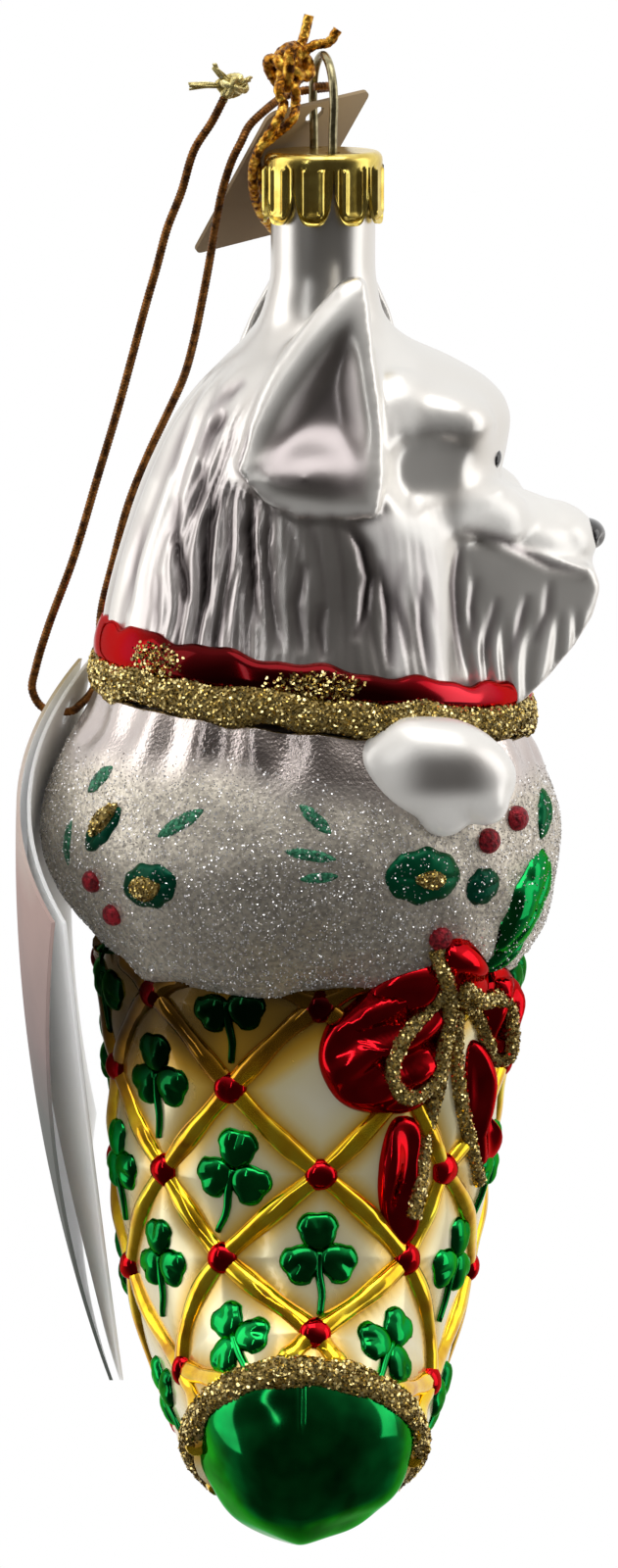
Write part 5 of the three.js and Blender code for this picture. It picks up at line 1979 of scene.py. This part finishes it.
def leaf_place(bends, across, down, lift):
    rows = [bend(across / LEAF_WIDTH, row) for row in bends]
    x = bend(down / LEAF_LENGTH, rows) + lift
    to_side, to_foot = leaf_frame()
    return LEAF_CORNER + to_side * across + to_foot * down + np.array([x, 0, 0])


def booklet_leaf(name, bends, lift, material):
    """One curled leaf with its hole. bends says how far it stands off, across it at three heights."""
    columns = 44
    rows = 72
    points = []
    for face in (0.5, -0.5):
        out = lift + face * LEAF_SHEET
        for r in range(rows + 1):
            for c in range(columns + 1):
                across = FOLD_GAP + (LEAF_WIDTH - FOLD_GAP) * c / columns
                points.append(leaf_place(bends, across, LEAF_LENGTH * r / rows, out))
    count = (rows + 1) * (columns + 1)
    top = grid_faces(rows + 1, columns + 1)
    faces = [tuple(reversed(f)) for f in top] + [tuple(i + count for i in f) for f in top]
    rim = list(range(columns))
    rim += [r * (columns + 1) + columns for r in range(rows)]
    rim += [rows * (columns + 1) + columns - c for c in range(columns)]
    rim += [(rows - r) * (columns + 1) for r in range(rows)]
    for a, b in zip(rim, [*rim[1:], rim[0]]):
        faces.append((a, b, b + count, a + count))
    made = mesh_object(name, *facing_out(np.array(points), faces), material, smooth=False)
    punch(made, leaf_place(bends, LEAF_HOLE_ACROSS, LEAF_HOLE_DOWN, lift), (1, 0, 0), LEAF_HOLE / 2)
    shade_smooth(made.data, 35)
    return made


def punch(piece, at, axis, radius):
    """Cuts a round hole through a thin piece."""
    at = np.asarray(at, dtype=float)
    axis = unit(axis)
    line = np.array([at - axis * 3, at, at + axis * 3])
    cutter = mesh_object("cutter", *tube_mesh(line, radius, 28), piece.data.materials[0], smooth=False)
    cut = piece.modifiers.new("hole", "BOOLEAN")
    cut.operation = "DIFFERENCE"
    cut.solver = "EXACT"
    cut.object = cutter
    mesh = applied(piece)
    piece.modifiers.clear()
    old = piece.data
    piece.data = mesh
    bpy.data.meshes.remove(old)
    bpy.data.objects.remove(cutter)


# Putting it together


RED = ((0.36, 0.001, 0.006), (0.80, 0.006, 0.014))
GREEN = ((0.001, 0.12, 0.025), (0.006, 0.42, 0.08))


def black_enamel():
    made = finish("black_enamel", (0.012, 0.012, 0.013), 0.0, 0.15, 1.0)
    ramp(made, grain(made, 900), [(0.3, (0.008, 0.008, 0.009)), (0.7, (0.02, 0.02, 0.022))])
    return made


def white_glitter():
    stops = [(0.0, (0.16, 0.14, 0.14)), (0.3, (0.62, 0.60, 0.60)), (1.0, (1.0, 1.0, 1.0))]
    return glitter("white_flakes", stops, 0.2, 0.7)


def gold_glitter():
    stops = [(0.0, (0.10, 0.06, 0.01)), (0.45, (0.62, 0.44, 0.11)), (1.0, (1.0, 0.86, 0.42))]
    return glitter("gold_flakes", stops)


def glass():
    """The blown body in its lacquers, with the glitter that is glued to it."""
    runs = rib_runs()
    boot = stocking(ivory_glass(), runs)
    hem = cuff(frosted_glass())
    ground = tree_of(boot, hem)
    boot_tree = tree_of(boot)
    pearl = pearl_glass()
    body = [dog_head(pearl), boot, hem, toe(lacquer("green_lacquer", *GREEN))]
    face = [nose_and_eyes(black_enamel()), paws(pearl)]
    collar = red_collar(collar_red())
    lattice = [
        ribs(mirror_gold(), boot_tree, runs),
        # The beads and clovers carry the painted shadow under the cuff
        beads(lacquer("bead_red", *RED, cuff_shadow=True), boot_tree),
        clovers(lacquer("clover_green", *GREEN, cuff_shadow=True), boot_tree),
    ]
    holly = holly_leaves(holly_green(), ground)
    brushed = strokes(glue("frosted_green", (0.004, 0.075, 0.035), (0.05, 0.27, 0.14)), ground)
    fruit = berries(glue("frosted_red", (0.10, 0.002, 0.006), (0.38, 0.012, 0.025)), ground)
    ribbon = bow(lacquer("red_lacquer", *RED), ground)
    gold_base = glue("gold_base", (0.12, 0.082, 0.018), (0.44, 0.31, 0.09))
    wreath = tree_of(boot, hem, holly, ribbon)
    collar_band = collar_gold(gold_base)
    toe_band = toe_gold(gold_base)
    trims = [collar_band, toe_band, bow_cord(gold_base, wreath), gold_hearts(gold_base, wreath)]
    pieces = [*body, *face, collar, *lattice, holly, brushed, fruit, ribbon, *trims]
    scatter = flake_tree()
    white = white_glitter()
    gold = gold_glitter()
    for name, under, material, per_square_mm, size, seed in (
        ("frost_flakes", hem, white, 7.5, 0.105, 5),
        ("leaf_frost", holly, white, 2.4, 0.1, 6),
        ("stroke_frost", brushed, white, 5.0, 0.1, 7),
        ("collar_glitter_specks", collar, gold, 20, 0.18, 8),
    ):
        pieces.append(flakes(scatter, name, under, material, per_square_mm, size, seed))
    trim_glitter = ((17, 0.17, 20), (15, 0.19, 21), (17, 0.16, 22), (17, 0.15, 23))
    for trim, (per_square_mm, size, seed) in zip(trims, trim_glitter):
        pieces.append(flakes(scatter, trim.name + "_flakes", trim, gold, per_square_mm, size, seed))
    for piece in pieces:
        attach(piece, "glass")
    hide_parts("collar_glitter_band")
    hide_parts("toe_glitter_band")
    for piece in body:
        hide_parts("glass_body")


def fittings():
    """The wire, and the cap with its two holes for the wire's legs."""
    hanger = wire(wire_metal())
    crown = cap(cap_gold())
    for side in (-1, 1):
        x, y, _ = on_loop(side * SPRING_REACH, 0)
        punch(crown, (x, y, -LOOP_HEIGHT), (0, 0, 1), WIRE_DIAMETER / 2 + 0.35)
    shade_smooth(crown.data, 40)
    for piece, node_name, slot in (
        (hanger, "hanger_wire", "wire_brass"),
        (crown, "ornament_cap", "cap_gold"),
    ):
        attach(piece, "hanger")
        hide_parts(node_name)


def hang(made, knot, node_names, body):
    """Ties a cord and its knot to their body."""
    loop, line, length = made
    for piece, node_name in zip((loop, knot), node_names):
        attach(piece, body)
        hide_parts(node_name)


def cords():
    stops = [(0.36, (0.07, 0.022, 0.003)), (0.5, (0.5, 0.19, 0.01)), (0.66, (1.0, 0.62, 0.09))]
    thread = metal_thread("gold_thread", stops)
    brown = metal_thread("brown_thread", [(0.35, (0.06, 0.022, 0.005)), (0.65, (0.30, 0.12, 0.025))], 0.4)
    pale = metal_thread("pale_thread", [(0.3, (0.42, 0.32, 0.08)), (0.7, (0.95, 0.84, 0.40))], 0.3)
    nodes = ("braid_loop", "braid_knot")
    hang(braid(thread), braid_knot(thread), nodes, "hanger")
    nodes = ("elastic_loop", "elastic_knot")
    hang(elastic(brown), elastic_knot(pale), nodes, "booklet")


def paint(piece, material):
    for slot in piece.material_slots:
        slot.material = material


def cards():
    """The square tag, and the two leaves of the booklet."""
    olive_stops = [(-4, (0.33, 0.24, 0.14)), (-16, (0.18, 0.12, 0.065)), (-25, (0.26, 0.19, 0.115))]
    olive = printed_card("olive_card", olive_stops)
    cover_stops = [
        (-64, (0.36, 0.29, 0.13)),
        (-74, (0.58, 0.50, 0.44)),
        (-86, (0.42, 0.30, 0.27)),
        (-102, (0.26, 0.20, 0.19)),
        (-112, (0.15, 0.155, 0.145)),
        (-150, (0.09, 0.105, 0.095)),
    ]
    cover = printed_card("cover_print", cover_stops)
    inner_stops = [(-64, (0.55, 0.50, 0.36)), (-76, (0.9, 0.9, 0.89)), (-150, (0.88, 0.89, 0.88))]
    inner = printed_card("inner_print", inner_stops)
    let_light_through(inner)
    paint(bpy.data.objects["square_tag"], olive)
    outer_leaf = booklet_leaf("cover_leaf", OUTER_BEND, 0, cover)
    inner_leaf = booklet_leaf("inner_leaf", INNER_BEND, LEAF_SPACING, inner)
    outer_leaf.data.materials.append(inner)
    for face in outer_leaf.data.polygons:
        face.material_index = int(face.normal.x > 0.3)
    for piece, node_name, body, slot in (
        (outer_leaf, "booklet_outer_leaf", "booklet_cover", "cover_card"),
        (inner_leaf, "booklet_inner_leaf", "booklet", "leaf_card"),
    ):
        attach(piece, body)
        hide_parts(node_name)


place_camera()
cords()
studio()
glass()
fittings()
cards()

bpy.context.scene.view_settings.view_transform = "Standard"

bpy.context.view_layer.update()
